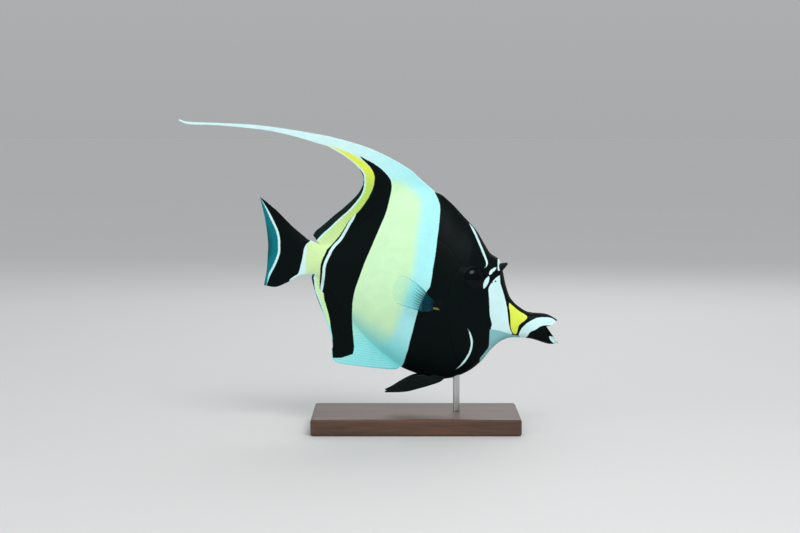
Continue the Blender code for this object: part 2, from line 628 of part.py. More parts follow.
def stand(holder, trunk, finish):
    """A flat base and a rod whose end sits in the breast."""
    shape = bmesh.new()
    bmesh.ops.create_cube(shape, size=1.0)
    size = Matrix.Diagonal((BASE_LENGTH * MM, BASE_WIDTH * MM, BASE_HEIGHT * MM, 1.0))
    bmesh.ops.transform(shape, matrix=size, verts=shape.verts)
    mesh = bpy.data.meshes.new("stand_base")
    shape.to_mesh(mesh)
    shape.free()
    base = finished("stand_base", mesh, finish, None)
    base.location = (BASE_CENTRE_X * MM, 0.0, BASE_HEIGHT / 2 * MM)
    edge = base.modifiers.new("edge", "BEVEL")
    edge.width = BASE_BEVEL * MM
    edge.segments = 3

    top = belly_above(ROD_X, holder) + ROD_SUNK
    spike("stand_rod", (ROD_X, 0.0, BASE_HEIGHT + GAP), (ROD_X, 0.0, top), ROD_RADIUS, ROD_RADIUS,
          finish, None, 20)
    wide = ROD_RADIUS + GAP
    hole = spike("hole", (ROD_X, 0.0, top - 12.0), (ROD_X, 0.0, top + GAP), wide, wide, finish, None, 20)
    combine(trunk, [hole], "DIFFERENCE")


def build():
    """The whole model."""
    for thing in list(bpy.data.objects):
        bpy.data.objects.remove(thing)
    holder = fish_place()
    black = material("black skin", BLACK)
    white = material("white skin", WHITE)
    yellow = material("yellow skin", YELLOW)
    lemon = material("lemon skin", LEMON)
    clear = material("clear fin", CLEAR, 0.3)
    wet = material("eye", BLACK, 0.08)
    metal = material("stand metal", METAL, 0.35, 1.0)

    skull = head(holder, black)
    dress_head(skull, holder, black)
    jaw(holder, black)
    rows = BODY_ROWS
    tail_end = cut_line(TAIL_ROOT_X, TAIL_ROOT_X, 0.0, 0.0, rows)
    stalk = [cut_line(STALK_X, STALK_X, 0.0, shift, rows) for shift in (-GAP / 2, GAP / 2)]
    waist = [cut_line(TRUNK_X, TRUNK_X, 0.0, shift, rows) for shift in (-GAP / 2, GAP / 2)]
    neck = cut_line(NECK_BACK_X, NECK_BELLY_X, GILL_BULGE, -GAP / 2, rows)
    trunk_piece("tail_stalk", tail_end, stalk[0], 6, yellow, holder)
    trunk_piece("trunk_rear", stalk[1], waist[0], 14, black, holder)
    trunk = trunk_piece("trunk_front", waist[1], neck, 16, lemon, holder)

    for side, hand in ((1, "left"), (-1, "right")):
        turned("eye_" + hand, (EYE_RADIUS, EYE_RADIUS, EYE_DEPTH), eye_place(side), wet, holder, 20, 12)
        spike("horn_" + hand, mirrored(HORN_ROOT, side), mirrored(HORN_TIP, side), HORN_RADIUS, 0.3,
              black, holder, 12)
        pectoral_fin(side, trunk, holder, clear)
        pelvic_fin(side, trunk, holder, black)
    dorsal_fins(holder, white)
    anal_fin(holder, white)
    tail_fin(holder, black)
    stand(holder, trunk, metal)


build()
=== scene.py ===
"""Looks of the moorish idol model: its skin with the markings, clear side fins, eyes, horns and stand.

Shapes are drawn as in the part's source: level, in millimetres, x forward from the root
of the tail fin, z up and y to the fish's left. They are then tipped nose down and lifted.
The skin is a sheet over the whole side view, doubled for the two flanks and closed round
its rim. Markings are outlines in the side view, kept on the skin as distances.
"""
import math

import bpy
import numpy as np
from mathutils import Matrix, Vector


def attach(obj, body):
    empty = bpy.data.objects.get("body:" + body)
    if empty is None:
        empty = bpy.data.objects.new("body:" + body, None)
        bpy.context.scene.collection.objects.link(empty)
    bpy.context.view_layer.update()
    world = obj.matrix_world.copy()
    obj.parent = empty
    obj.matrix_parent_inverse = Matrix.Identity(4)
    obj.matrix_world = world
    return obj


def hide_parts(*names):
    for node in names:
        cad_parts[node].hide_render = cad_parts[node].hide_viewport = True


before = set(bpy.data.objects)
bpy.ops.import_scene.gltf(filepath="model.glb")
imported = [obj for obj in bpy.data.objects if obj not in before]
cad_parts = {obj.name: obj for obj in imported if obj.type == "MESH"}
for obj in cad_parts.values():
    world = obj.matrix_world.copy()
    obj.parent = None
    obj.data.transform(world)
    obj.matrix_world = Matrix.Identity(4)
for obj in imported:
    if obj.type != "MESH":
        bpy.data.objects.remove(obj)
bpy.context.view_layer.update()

MM = 0.001

# Pose of the fish over its stand, as in the part's source
PITCH = math.radians(13.5)
SHIFT = (-40.115, 0.0, 102.45)

# Outline of the body without its fins, as (x, z) from the tail to the snout
BACK = [(1.0, 11.2), (5.5, 10.6), (8.5, 9.9), (13.4, 11.4), (19.6, 16.5), (26.6, 25.5), (33.4, 35.8),
        (40.4, 44.9), (48.2, 51.4), (59.6, 56.0), (69.7, 56.5), (78.6, 52.8), (88.2, 46.5), (97.0, 40.6),
        (104.4, 33.1), (109.1, 28.7), (114.6, 26.6), (116.6, 24.0), (118.5, 20.4), (122.2, 12.7),
        (127.0, 5.5), (132.9, 1.7), (139.6, -0.2), (150.3, 1.1), (157.3, -0.6)]
BELLY = [(1.0, -10.3), (4.5, -8.9), (8.7, -8.2), (17.2, -12.5), (27.3, -21.2), (38.1, -30.3), (50.0, -38.6),
         (62.0, -45.2), (72.3, -49.5), (85.0, -51.4), (95.0, -51.8), (103.2, -49.3), (108.6, -46.1),
         (113.7, -41.8), (119.3, -34.3), (123.0, -26.6), (127.1, -20.9), (132.4, -17.2), (137.7, -15.8),
         (146.0, -14.8), (155.5, -15.4), (161.2, -13.9)]

# Half the width of the body, the height at which it is widest, and how blunt its section is
GIRTH = [(1.0, 2.0), (4.0, 2.7), (12.0, 4.3), (21.0, 6.4), (33.0, 9.2), (47.0, 12.0), (62.0, 14.2),
         (75.0, 15.3), (88.0, 15.6), (96.0, 15.0), (103.0, 13.4), (110.0, 11.2), (116.0, 9.4), (121.0, 7.6),
         (127.0, 6.1), (133.0, 5.3), (140.0, 4.9), (148.0, 4.6), (153.0, 4.0), (155.5, 3.0), (156.8, 1.9),
         (157.4, 0.9)]
JAW_GIRTH = [(140.0, 4.9), (150.0, 4.6), (155.0, 4.2), (158.5, 3.2), (160.3, 2.2), (161.3, 0.9)]
LEVEL = [(1.0, 0.5), (12.0, 1.0), (33.0, 3.0), (62.0, 3.0), (88.0, -2.0), (103.0, 1.0), (116.0, -2.0),
         (127.0, -7.0), (140.0, -7.5), (152.0, -6.5), (157.4, -6.0), (161.4, -11.0)]
BLUNTNESS = [(1.0, 0.6), (12.0, 0.68), (33.0, 0.8), (70.0, 0.82), (90.0, 0.7), (103.0, 0.56), (118.0, 0.5),
             (161.4, 0.5)]
KEEL = [(1.0, 1.4), (10.0, 0.8), (100.0, 0.8), (116.0, 1.0), (161.4, 0.8)]

# Where the fins stand on the body and where parts of the head begin
TAIL_ROOT_X = 1.0
DORSAL_X = (9.0, 42.0, 69.0)
ANAL_X = (9.4, 72.0)
BROW_X, THROAT_X = 116.6, 125.0
SNOUT_X, CHIN_X = 130.0, 136.0
HINGE_X = 141.6

# Mouth, open a little
MOUTH_CORNER = (151.8, -5.4)
JAW_SEAM = [(142.6, -13.6), (144.2, -11.2), (146.6, -9.0), (149.2, -6.8), MOUTH_CORNER]
JAW_GROOVE = [(144.6, -12.6), (146.8, -9.4), (149.4, -7.0)]
MOUTH_ROOF = [MOUTH_CORNER, (154.2, -4.5), (157.0, -2.0)]
MOUTH_FLOOR = [MOUTH_CORNER, (155.1, -8.4), (157.4, -10.4), (160.5, -12.8)]

# Fins of the middle line
DORSAL_SPLIT = [(34.0, 49.8), (25.5, 51.3)]
DORSAL_LEAD = [(57.8, 62.3), (50.8, 66.2), (37.4, 70.4), (24.4, 73.1), (11.8, 74.2), (-2.0, 74.5)]
DORSAL_EDGE_FRONT = [(-2.0, 68.8), (2.8, 67.9), (11.5, 65.1), (19.9, 60.9), (24.5, 55.9),
                     DORSAL_SPLIT[-1]]
DORSAL_EDGE_REAR = [DORSAL_SPLIT[-1], (23.6, 44.9), (17.9, 35.8), (13.2, 29.7), (9.5, 24.5),
                    (6.7, 20.7), (4.4, 17.7), (3.4, 14.8)]
STREAMER_TOP = [(-2.0, 74.5), (-24.9, 73.0), (-46.0, 70.7), (-66.7, 66.9), (-84.3, 63.4), (-90.6, 63.5)]
STREAMER_BOTTOM = [(-2.0, 68.8), (-18.0, 69.7), (-30.3, 69.8), (-42.5, 69.0), (-66.4, 65.7), (-84.3, 62.2),
                   (-90.5, 62.9)]
ANAL_LEAD = [(70.0, -51.8), (61.0, -53.6), (49.0, -55.2), (37.0, -56.5), (31.9, -55.4)]
ANAL_EDGE = [(31.9, -55.4), (30.4, -50.7), (30.0, -46.5), (26.7, -39.3), (20.0, -29.1), (14.4, -21.2),
             (9.5, -12.5), (8.2, -9.2)]
TAIL_TOP = [(-4.5, 13.9), (-10.2, 16.9), (-17.6, 21.7), (-24.8, 26.1), (-33.0, 29.7)]
TAIL_BOTTOM = [(-1.4, -12.4), (-6.4, -17.0), (-11.7, -20.6), (-18.4, -21.2)]
TAIL_EDGE = [(-33.0, 29.7), (-30.6, 25.3), (-25.9, 15.4), (-21.8, 4.1), (-20.2, -4.0), (-18.9, -12.0),
             (-18.4, -21.2)]

# Side fins
PECTORAL_ROOT = [(84.9, -10.3), (84.2, -6.7)]
PECTORAL_TOP = [(79.6, -3.9), (75.9, -1.0), (70.2, 2.3), (64.6, 4.7), (60.8, 5.3), (58.4, 4.0)]
PECTORAL_BOTTOM = [(79.8, -12.4), (75.1, -12.9), (70.5, -12.3), (66.2, -11.9), (61.3, -11.2)]
PECTORAL_EDGE = [(61.3, -11.2), (58.8, -8.3), (57.1, -3.8), (57.1, 1.0), (58.4, 4.0)]
PECTORAL_SPREAD = math.radians(24.0)
FIN_BOSS = (86.0, -8.4)
PELVIC_ROOT = [(101.0, -47.2), (94.0, -49.0)]
PELVIC_FRONT = [(98.2, -52.3), (92.5, -56.2), (87.1, -59.3), (78.8, -63.5), (67.2, -66.6)]
PELVIC_REAR = [(91.2, -51.2), (87.0, -51.5), (83.0, -52.5), (79.5, -54.6), (74.5, -59.0), (70.6, -63.0),
               (67.0, -66.0)]
PELVIC_SIDE = 2.3
PELVIC_SPREAD = math.radians(5.0)

# Head details
EYE_CENTRE = (103.0, 13.0)
EYE_RADII = (7.5, 4.2)
EYE_SUNK = 2.7
RIM_RADIUS = 6.4
NOSTRILS = [(116.1, 13.4, 0.55), (114.4, 12.3, 0.4)]
HORN_ROOT = (116.0, 3.4, 21.5)
HORN_TIP = (120.7, 4.0, 25.8)
HORN_RADII = (1.4, 2.6)
GILL_LINE = [(110.6, -44.4), (103.0, -36.0), (97.0, -24.0), (93.3, -10.0), (91.6, 2.0), (91.0, 12.0),
             (93.0, 18.0)]
LATERAL_LINE = [(92.0, 19.0), (84.0, 27.0), (72.0, 31.0), (58.0, 29.0), (44.0, 21.0), (30.0, 11.0),
                (18.0, 4.0), (4.0, 0.5)]

# Half thickness of the middle fins at the root and at the edge, height of their rays,
# and how far the rim of a sheet bulges
FIN_ROOT = 0.8
FIN_EDGE = 0.22
RAY_HEIGHT = 0.17
RIM_BULGE = 0.4

# Columns and rows of the mesh
ROWS = 221
STALK_COLUMNS = 16
REAR_COLUMNS = 88
MID_COLUMNS = 72
CHEST_COLUMNS = 130
FACE_COLUMNS = 64
CHIN_COLUMNS = 16
SEAM_COLUMNS = 40
ROOF_COLUMNS = 20
FLOOR_COLUMNS = 30
STREAMER_COLUMNS = 32
JAW_ROWS = 48
TAIL_ROWS = 80
DORSAL_ROWS = 110
STREAMER_ROWS = 150
ANAL_ROWS = 90
RIM_STEPS = 6

# Markings, as outlines in the side view
FRONT_BAND = [(66.0, 60.0), (68.4, 56.5), (71.0, 53.4), (73.0, 50.2), (73.9, 46.7), (74.8, 41.4),
              (75.6, 35.4), (76.2, 29.3), (77.0, 23.4), (77.5, 17.3), (77.8, 12.4), (78.4, 7.1),
              (78.7, 0.9), (77.5, -1.8), (75.1, -12.3), (75.0, -16.0), (74.8, -21.6), (74.8, -27.8),
              (74.6, -33.4), (74.7, -38.9), (74.2, -43.3), (74.1, -47.0), (73.1, -50.4), (70.0, -53.5)]
REAR_BAND_FRONT = [(20.1, 67.4), (23.8, 66.3), (29.0, 64.9), (34.4, 62.6), (38.4, 60.0), (40.7, 57.9),
                   (42.3, 54.3), (42.7, 50.3), (42.8, 42.3), (42.6, 38.0), (41.9, 33.4), (41.1, 28.9),
                   (40.3, 24.4), (38.8, 15.4), (37.2, 6.4), (36.1, -3.1), (35.3, -11.3), (35.4, -15.6),
                   (35.8, -19.8), (37.8, -29.2), (40.6, -38.4), (42.9, -45.3), (42.9, -49.3)]
REAR_BAND_BOTTOM = [(40.0, -51.2), (36.8, -53.2), (31.8, -54.4)]
REAR_BAND_REAR = [(30.3, -50.8), (29.6, -45.4), (28.4, -41.4), (26.4, -36.9), (24.7, -32.4), (22.8, -28.5),
                  (20.7, -24.7), (18.5, -20.9), (17.4, -17.5), (14.9, -16.2), (13.6, -12.2), (12.8, -7.5),
                  (11.8, -2.1), (11.9, 1.6), (12.8, 5.5), (13.3, 8.4), (14.7, 10.6), (16.8, 14.5),
                  (18.9, 18.7), (20.7, 24.0), (22.5, 29.1), (26.6, 35.3), (28.2, 38.8), (29.6, 42.2),
                  (30.6, 45.6), (31.5, 49.5), (31.6, 53.2), (30.9, 57.6), (28.6, 61.1), (25.7, 63.4),
                  (22.2, 65.4), (19.6, 67.3)]
REAR_LINE = [(25.6, 34.5), (24.5, 31.1), (23.0, 27.1), (21.4, 21.1), (19.6, 15.8), (17.4, 12.1),
             (16.0, 8.7), (15.3, 5.5), (14.4, 1.5), (14.2, -2.8), (14.9, -7.0), (15.4, -11.8),
             (15.8, -16.0), (16.9, -19.4)]
DORSAL_MARGIN = [(-1.8, 68.9), (7.5, 66.2), (15.7, 62.7), (20.3, 60.4), (23.6, 58.1), (25.1, 55.3),
                 (25.9, 51.8), (26.2, 48.2), (25.4, 44.3), (23.6, 40.2), (20.6, 34.5), (16.9, 29.3),
                 (14.2, 25.3), (11.7, 21.3), (8.5, 16.8), (5.9, 12.2)]
DORSAL_MARGIN_FAR = [(-0.8, 10.0), (3.0, 29.6), (14.0, 42.7), (17.0, 49.5), (15.5, 55.4), (8.4, 62.4),
                     (-3.8, 66.9)]
ANAL_MARGIN = [(9.6, -7.5), (9.4, -9.4), (10.4, -12.4), (12.0, -16.9), (14.7, -21.2), (17.6, -25.4),
               (20.4, -29.7), (23.0, -34.0), (25.0, -37.8), (28.3, -42.6), (30.2, -46.5)]
ANAL_MARGIN_FAR = [(28.0, -49.0), (20.0, -38.0), (8.0, -22.0), (5.0, -10.0)]
YELLOW_BAND = [(-1.2, 69.6), (6.8, 68.8), (13.2, 67.9), (20.6, 65.7), (24.0, 64.3), (26.9, 62.3),
               (33.0, 60.0), (35.0, 45.0), (26.0, 30.0), (20.0, 8.0), (20.0, -8.0), (26.0, -32.0),
               (27.0, -36.0), (21.0, -33.0), (14.0, -24.0), (5.4, -12.0), (4.4, -8.3), (3.2, -4.2),
               (2.2, 0.5), (1.2, 8.2), (0.6, 13.0), (-4.0, 12.0), (12.0, 55.0), (-4.0, 66.0)]
TAIL_BASE = [(2.6, 12.0), (1.8, 10.2), (0.4, 8.4), (-0.2, 5.8), (0.0, 2.4), (0.2, -1.2), (0.2, -4.9),
             (0.1, -8.4), (-0.6, -10.7), (-4.0, -14.0), (-6.0, -20.0), (-12.0, -26.0), (-17.0, -26.0)]
TAIL_CRESCENT = [(-34.5, 31.0), (-32.2, 28.9), (-28.4, 25.2), (-25.0, 21.7), (-20.7, 16.6), (-17.6, 12.4),
                 (-15.7, 8.5), (-14.4, 3.9), (-13.6, -0.2), (-13.9, -4.0), (-14.4, -7.2), (-15.3, -11.1),
                 (-16.3, -14.8), (-16.7, -18.2), (-17.2, -22.5)]
FACE_PATCH = [(117.9, 17.6), (116.4, 16.2), (115.0, 14.0), (113.8, 11.2), (113.1, 8.0), (114.2, 4.5),
              (115.9, -1.2), (117.6, -7.0), (119.5, -10.9), (120.2, -12.5), (120.6, -15.9), (125.1, -15.3),
              (129.5, -15.5), (133.5, -15.4), (132.1, -13.4), (130.5, -10.7), (129.1, -7.3), (127.1, -1.6),
              (124.5, 3.9), (121.8, 8.8), (119.2, 13.1)]
# The throat's underside, which is white, painted grey-green here as painted shade under the head
THROAT = [(119.6, -15.5), (120.8, -21.6), (121.5, -25.8), (120.0, -29.9), (118.1, -34.6), (121.0, -38.0),
          (130.0, -24.0), (138.5, -18.0), (138.0, -15.4), (133.3, -15.5), (129.5, -15.2), (125.1, -15.0)]
SADDLE = [(127.2, 3.0), (129.8, 1.5), (134.0, -0.6), (137.9, -1.8), (139.8, -2.9), (139.3, -4.9),
          (137.4, -7.2), (136.1, -9.3), (136.0, -11.8), (136.0, -14.3), (134.9, -14.9), (133.5, -14.3),
          (131.7, -11.6), (130.3, -7.0), (129.3, -3.6), (127.6, 0.5)]
SNOUT_PATCH = [(137.3, -14.6), (137.8, -11.4), (139.9, -7.5), (142.9, -4.3), (146.0, -2.0), (150.0, -0.7),
               (153.6, -0.2), (156.6, -1.0), (158.5, -2.4), (154.5, -4.6), (151.4, -5.4), (149.0, -6.6),
               (146.5, -9.3), (143.9, -11.2), (142.7, -13.9), (141.6, -15.6), (138.5, -16.6),
               (137.5, -15.5)]
LIP_PATCH = [(155.3, -11.4), (157.7, -10.9), (160.9, -13.0), (161.2, -14.2), (159.3, -14.8), (156.6, -13.3)]
EYE_PATCH = [(114.7, 21.8), (113.3, 21.1), (111.4, 18.7), (111.4, 16.3), (112.6, 16.8), (113.4, 18.6),
             (114.4, 19.9)]
EYE_PATCH_LOW = [(111.5, 15.7), (109.8, 12.9), (109.4, 10.2), (110.2, 7.4), (110.9, 8.0), (112.0, 10.8),
                 (112.2, 14.0)]
FOREHEAD_LINE = [(92.4, 43.8), (95.2, 41.1), (97.9, 38.0), (100.6, 34.4), (103.3, 30.8), (106.0, 27.0),
                 (108.3, 23.5), (108.6, 21.1), (107.6, 19.4)]
BROW_BAR = [(115.0, 26.8), (116.4, 20.7)]
CHEEK_LINE = [(105.7, -17.9), (107.6, -19.3), (109.6, -22.5), (111.0, -25.8), (111.4, -30.1),
              (110.8, -33.9), (109.5, -37.6), (107.8, -40.8), (105.5, -43.8)]
TAIL_LINE = [(-3.6, -14.6), (-1.5, -12.0), (1.0, -10.2), (4.0, -9.3)]
PECTORAL_MARK = [(80.1, -12.6), (83.4, -11.2), (85.8, -10.9), (87.7, -11.1)]
LEMON_PATCH = [(39.9, 57.0), (46.5, 58.0), (54.4, 55.6), (60.5, 50.9), (63.3, 41.7), (63.7, 32.5),
               (64.9, 23.6), (66.1, 14.6), (66.6, 2.4), (65.9, -10.1), (64.9, -21.5), (63.7, -31.7),
               (60.0, -39.3), (52.8, -40.4), (45.0, -38.6), (37.1, -36.8), (28.9, -28.3), (25.1, -19.9),
               (28.1, -6.9), (26.8, 11.3), (28.9, 33.4), (34.7, 50.2)]

# What closes the front band and the tail's edge
AHEAD = [(175.0, -60.0), (175.0, 60.0)]
BEHIND = [(-60.0, -24.0), (-60.0, 32.0)]

WHITE_PATCHES = [FACE_PATCH, SNOUT_PATCH, LIP_PATCH, EYE_PATCH, EYE_PATCH_LOW]

# Pale lines with half their width and the length over which they thin out
PALE_LINES = [(FOREHEAD_LINE, 0.62, 5.0), (BROW_BAR, 0.7, 0.0), (CHEEK_LINE, 0.6, 7.0),
              (REAR_LINE, 0.85, 6.0), (TAIL_LINE, 0.55, 3.0)]
CRESCENT_WIDTH = 1.3
MARGIN_LINE = 0.9

# Colours
BLACK = (0.0012, 0.0042, 0.0042)
FIN_BLACK = (0.0030, 0.0070, 0.0075)
WHITE = (0.67, 0.95, 0.96)
ICE = (0.43, 0.92, 0.94)
# Aqua low on the body: partly the fish's own colour and partly painted shade on the lower flank
AQUA_AND_SHADE = (0.23, 0.83, 0.85)
LEMON = (0.65, 0.97, 0.60)
YELLOW = (0.76, 0.89, 0.09)
LIME = (0.50, 0.74, 0.13)
PALE_YELLOW = (0.65, 0.90, 0.43)
OLIVE = (0.20, 0.22, 0.05)
# Painted shade: the white underside of the throat, grey-green as if in shade
THROAT_SHADE = (0.26, 0.57, 0.59)
TEAL = (0.004, 0.20, 0.24)
DEEP_TEAL = (0.002, 0.055, 0.065)
SMOKE = (0.003, 0.014, 0.014)
# Painted shade: the dark inside the nostril pits
NOSTRIL_SHADE = (0.02, 0.10, 0.10)
ROOT_TEAL = (0.0008, 0.040, 0.060)
FILM_CYAN = (0.14, 0.74, 0.78)
EYE_BLUE = (0.0003, 0.0005, 0.0018)
IRIS_BLUE = (0.0012, 0.0020, 0.0050)
WOOD_DARK = (0.022, 0.010, 0.006)
WOOD_LIGHT = (0.12, 0.055, 0.028)
STEEL = (0.58, 0.59, 0.60, 1.0)
FLOOR_GREY = 0.66
SKY_LOW = (0.397, 0.401, 0.405)
SKY_HIGH = (0.60, 0.61, 0.62)

# Floor and lights in metres, each light with its place, size and power
FLOOR_SIZE = 60.0
LIGHT_TARGET = (0.01, 0.0, 0.1)
LIGHTS = [("key", (0.35, -0.9, 1.0), 0.6, 8.4), ("fill", (-0.9, -0.8, 0.35), 0.8, 1.6),
          ("back", (0.2, 0.9, 0.8), 0.8, 3.0)]

# Camera: from the fish's right side, a little above it
CAMERA_DISTANCE = 1200.0
CAMERA_TILT = math.radians(4.0)
CAMERA_LENS = 90.0
CAMERA_SENSOR = 36.0
VIEW_CENTRE = (18.6, 0.0, 97.3)


def table(points):
    """A smooth curve through (x, value) pairs that never overshoots them."""
    xs, ys = np.array(points, float).T
    steps = np.diff(ys) / np.diff(xs)
    same_way = steps[:-1] * steps[1:] > 0
    total = np.where(same_way, steps[:-1] + steps[1:], 1.0)
    inner = np.where(same_way, 2.0 * steps[:-1] * steps[1:] / total, 0.0)
    slopes = np.concatenate([steps[:1], inner, steps[-1:]])

    def value(x):
        x = np.clip(x, xs[0], xs[-1])
        k = np.clip(np.searchsorted(xs, x) - 1, 0, len(xs) - 2)
        width = xs[k + 1] - xs[k]
        f = (x - xs[k]) / width
        rise = ys[k + 1] - ys[k]
        start, end = slopes[k] * width, slopes[k + 1] * width
        return ys[k] + f * (start + f * (3.0 * rise - 2.0 * start - end + f * (start + end - 2.0 * rise)))

    return value


back = table(BACK)
belly = table(BELLY)
girth = table(GIRTH)
jaw_girth = table(JAW_GIRTH)
level = table(LEVEL)
bluntness = table(BLUNTNESS)
keel = table(KEEL)


def half_width(x, z, widest=girth):
    """Half the body's width at a point of its side view."""
    middle = level(x)
    above = (z - middle) / np.maximum(back(x) - middle, 0.1)
    below = (middle - z) / np.maximum(middle - belly(x), 0.1)
    away = np.clip(np.maximum(above, below), 0.0, 1.0)
    edge = np.minimum(keel(x), widest(x))
    return edge + (widest(x) - edge) * (1.0 - away ** 2) ** bluntness(x)


def step(x, start, end):
    """A smooth rise from 0 to 1 between two values."""
    f = np.clip((x - start) / (end - start), 0.0, 1.0)
    return f * f * (3.0 - 2.0 * f)


def bell(away, width):
    """A hump of height 1 that dies out with the distance."""
    return np.exp(-(away / width) ** 2)


def run_along(line):
    """How far along a line each of its points is."""
    return np.concatenate([[0.0], np.cumsum(np.linalg.norm(np.diff(line, axis=0), axis=1))])


def even_steps(line, count):
    """Points at even steps along a dense line, its ends kept."""
    run = run_along(line)
    f = np.linspace(0.0, run[-1], count + 1)
    return np.stack([np.interp(f, run, column) for column in line.T], axis=1)


def smooth(points, count):
    """Points at even steps along a smooth curve through a few."""
    points = np.array(points, float)
    ends = np.vstack([2 * points[0] - points[1], points, 2 * points[-1] - points[-2]])
    fine = []
    for a, b, c, d in zip(ends, ends[1:], ends[2:], ends[3:]):
        for f in np.linspace(0.0, 1.0, 24, endpoint=False):
            fine.append(0.5 * (2 * b + (c - a) * f + (2 * a - 5 * b + 4 * c - d) * f ** 2
                               + (3 * b - a - 3 * c + d) * f ** 3))
    return even_steps(np.array(fine + [points[-1]]), count)


def along(outline, start, end, count):
    """Points at even steps on the back or belly between two x values."""
    x = np.linspace(start, end, 20 * count + 1)
    return even_steps(np.c_[x, outline(x)], count)


def chain(*curves):
    """Curves end to end as one line."""
    return np.vstack([curves[0]] + [curve[1:] for curve in curves[1:]])


def distance(x, z, line, closed=False):
    """How far points are from a line, and for a closed one with a minus sign inside it."""
    line = np.array(line, float)
    ends = np.roll(line, -1, axis=0) if closed else line[1:]
    starts = line if closed else line[:-1]
    best = np.full(x.shape, 1e9)
    within = np.zeros(x.shape, bool)
    for (ax, az), (bx, bz) in zip(starts, ends):
        dx, dz = bx - ax, bz - az
        length = max(dx * dx + dz * dz, 1e-9)
        f = np.clip(((x - ax) * dx + (z - az) * dz) / length, 0.0, 1.0)
        best = np.minimum(best, (x - ax - f * dx) ** 2 + (z - az - f * dz) ** 2)
        if closed and az != bz:
            within ^= ((az > z) != (bz > z)) & (x < ax + dx * (z - az) / dz)
    best = np.sqrt(best)
    return np.where(within, -best, best)


def region(x, z, outline, spacing=1.2):
    """Distance to an outline rounded through its points, with a minus sign inside."""
    outline = np.array(outline + outline[:1], float)
    count = int(run_along(outline)[-1] / spacing)
    return distance(x, z, smooth(outline, count)[:-1], closed=True)


def stripe(x, z, line, width, taper=0.0):
    """Distance to the edge of a line of some half width, thinner towards its ends."""
    line = smooth(line, 4 * len(line))
    ends = np.minimum(*(np.hypot(x - end_x, z - end_z) for end_x, end_z in (line[0], line[-1])))
    return distance(x, z, line) - width * (step(ends, -0.5, taper) if taper else 1.0)


def tipped(x, z):
    """Where a side view point of the level fish lies over the stand."""
    wide = x * math.cos(PITCH) + z * math.sin(PITCH) + SHIFT[0]
    high = z * math.cos(PITCH) - x * math.sin(PITCH) + SHIFT[2]
    return wide, high


def levelled(wide, high):
    """The side view point of the level fish that lies at a place over the stand."""
    wide, high = wide - SHIFT[0], high - SHIFT[2]
    return wide * math.cos(PITCH) - high * math.sin(PITCH), wide * math.sin(PITCH) + high * math.cos(PITCH)


def seen(x, y, z):
    """The side view point that a point of a flank covers, from where the camera stands."""
    wide, high = tipped(x, z)
    eye_y = CAMERA_DISTANCE * math.cos(CAMERA_TILT)
    eye_z = VIEW_CENTRE[2] + CAMERA_DISTANCE * math.sin(CAMERA_TILT)
    f = eye_y / (eye_y - np.abs(y))
    return levelled(VIEW_CENTRE[0] + (wide - VIEW_CENTRE[0]) * f, eye_z + (high - eye_z) * f)


def patch(low, high, rear, front):
    """A grid of side view points that fills the space between four lines."""
    u, v = [(run_along(a) / run_along(a)[-1] + run_along(b) / run_along(b)[-1]) / 2
            for a, b in ((low, high), (rear, front))]
    u, v = u[:, None, None], v[None, :, None]
    across = (1 - v) * low[:, None] + v * high[:, None] + (1 - u) * rear[None] + u * front[None]
    return across - ((1 - u) * ((1 - v) * low[0] + v * high[0]) + u * ((1 - v) * low[-1] + v * high[-1]))


def ruled(low, high, rows):
    """A grid between two lines, its rows closer at both."""
    t = np.linspace(0.0, 1.0, rows + 1)
    f = (t - 0.08 * np.sin(2 * math.pi * t))[None, :, None]
    return (1 - f) * low[:, None] + f * high[:, None]


def ridges(columns, rows, per_ray, fork=2.0):
    """Height from 0 to 1 of the rays that run from a fin's base to its edge."""
    phase = (np.arange(columns + 1) / per_ray)[:, None]
    v = np.linspace(0.0, 1.0, rows + 1)[None, :]
    single = 0.5 - 0.5 * np.cos(2 * math.pi * phase)
    double = 0.5 - 0.5 * np.cos(4 * math.pi * phase)
    forked = step(v, fork, fork + 0.25)
    return (single * (1 - forked) + 0.7 * double * forked) * step(v, 0.0, 0.12) * (1.0 - 0.45 * v)


def membrane(columns, rows, root, edge, power=1.6):
    """Half thickness of a fin from its base to its edge."""
    v = np.linspace(0.0, 1.0, rows + 1)[None, :]
    root = np.broadcast_to(np.reshape(root, (-1, 1)), (columns + 1, 1))
    return edge + (root - edge) * (1.0 - v) ** power


def weld(pieces):
    """One sheet of points, half widths and ridges from several grids that share edges."""
    points = np.vstack([grid.reshape(-1, 2) for grid, half, ridge in pieces])
    values = np.vstack([np.c_[half.ravel(), ridge.ravel()] for grid, half, ridge in pieces])
    faces = []
    first = 0
    for grid, half, ridge in pieces:
        number = first + np.arange(half.size).reshape(half.shape)
        corners = [number[:-1, :-1], number[1:, :-1], number[1:, 1:], number[:-1, 1:]]
        faces.append(np.stack(corners, axis=-1).reshape(-1, 4))
        first += half.size
    keys = np.round(points * 1000.0).astype(np.int64)
    unique, index, inverse = np.unique(keys, axis=0, return_index=True, return_inverse=True)
    inverse = inverse.ravel()
    count = np.bincount(inverse)
    half, ridge = [np.bincount(inverse, column) / count for column in values.T]
    return points[index], half, ridge, turned_alike(points[index], inverse[np.vstack(faces)])


def turned_alike(points, faces):
    """Faces all wound the same way in the side view."""
    corners = points[faces]
    following = np.roll(corners, -1, axis=1)
    area = (corners[..., 0] * following[..., 1] - following[..., 0] * corners[..., 1]).sum(1)
    return np.where((area < 0)[:, None], faces[:, ::-1], faces)


def face_edges(faces):
    """Directed edges of all faces, without those between a corner and itself."""
    edges = np.c_[faces.ravel(), np.roll(faces, -1, axis=1).ravel()]
    return edges[edges[:, 0] != edges[:, 1]]


def rim_edges(faces):
    """Directed edges that only one face has."""
    edges = face_edges(faces)
    unique, index, count = np.unique(np.sort(edges, axis=1), axis=0, return_index=True, return_counts=True)
    return edges[index[count == 1]]


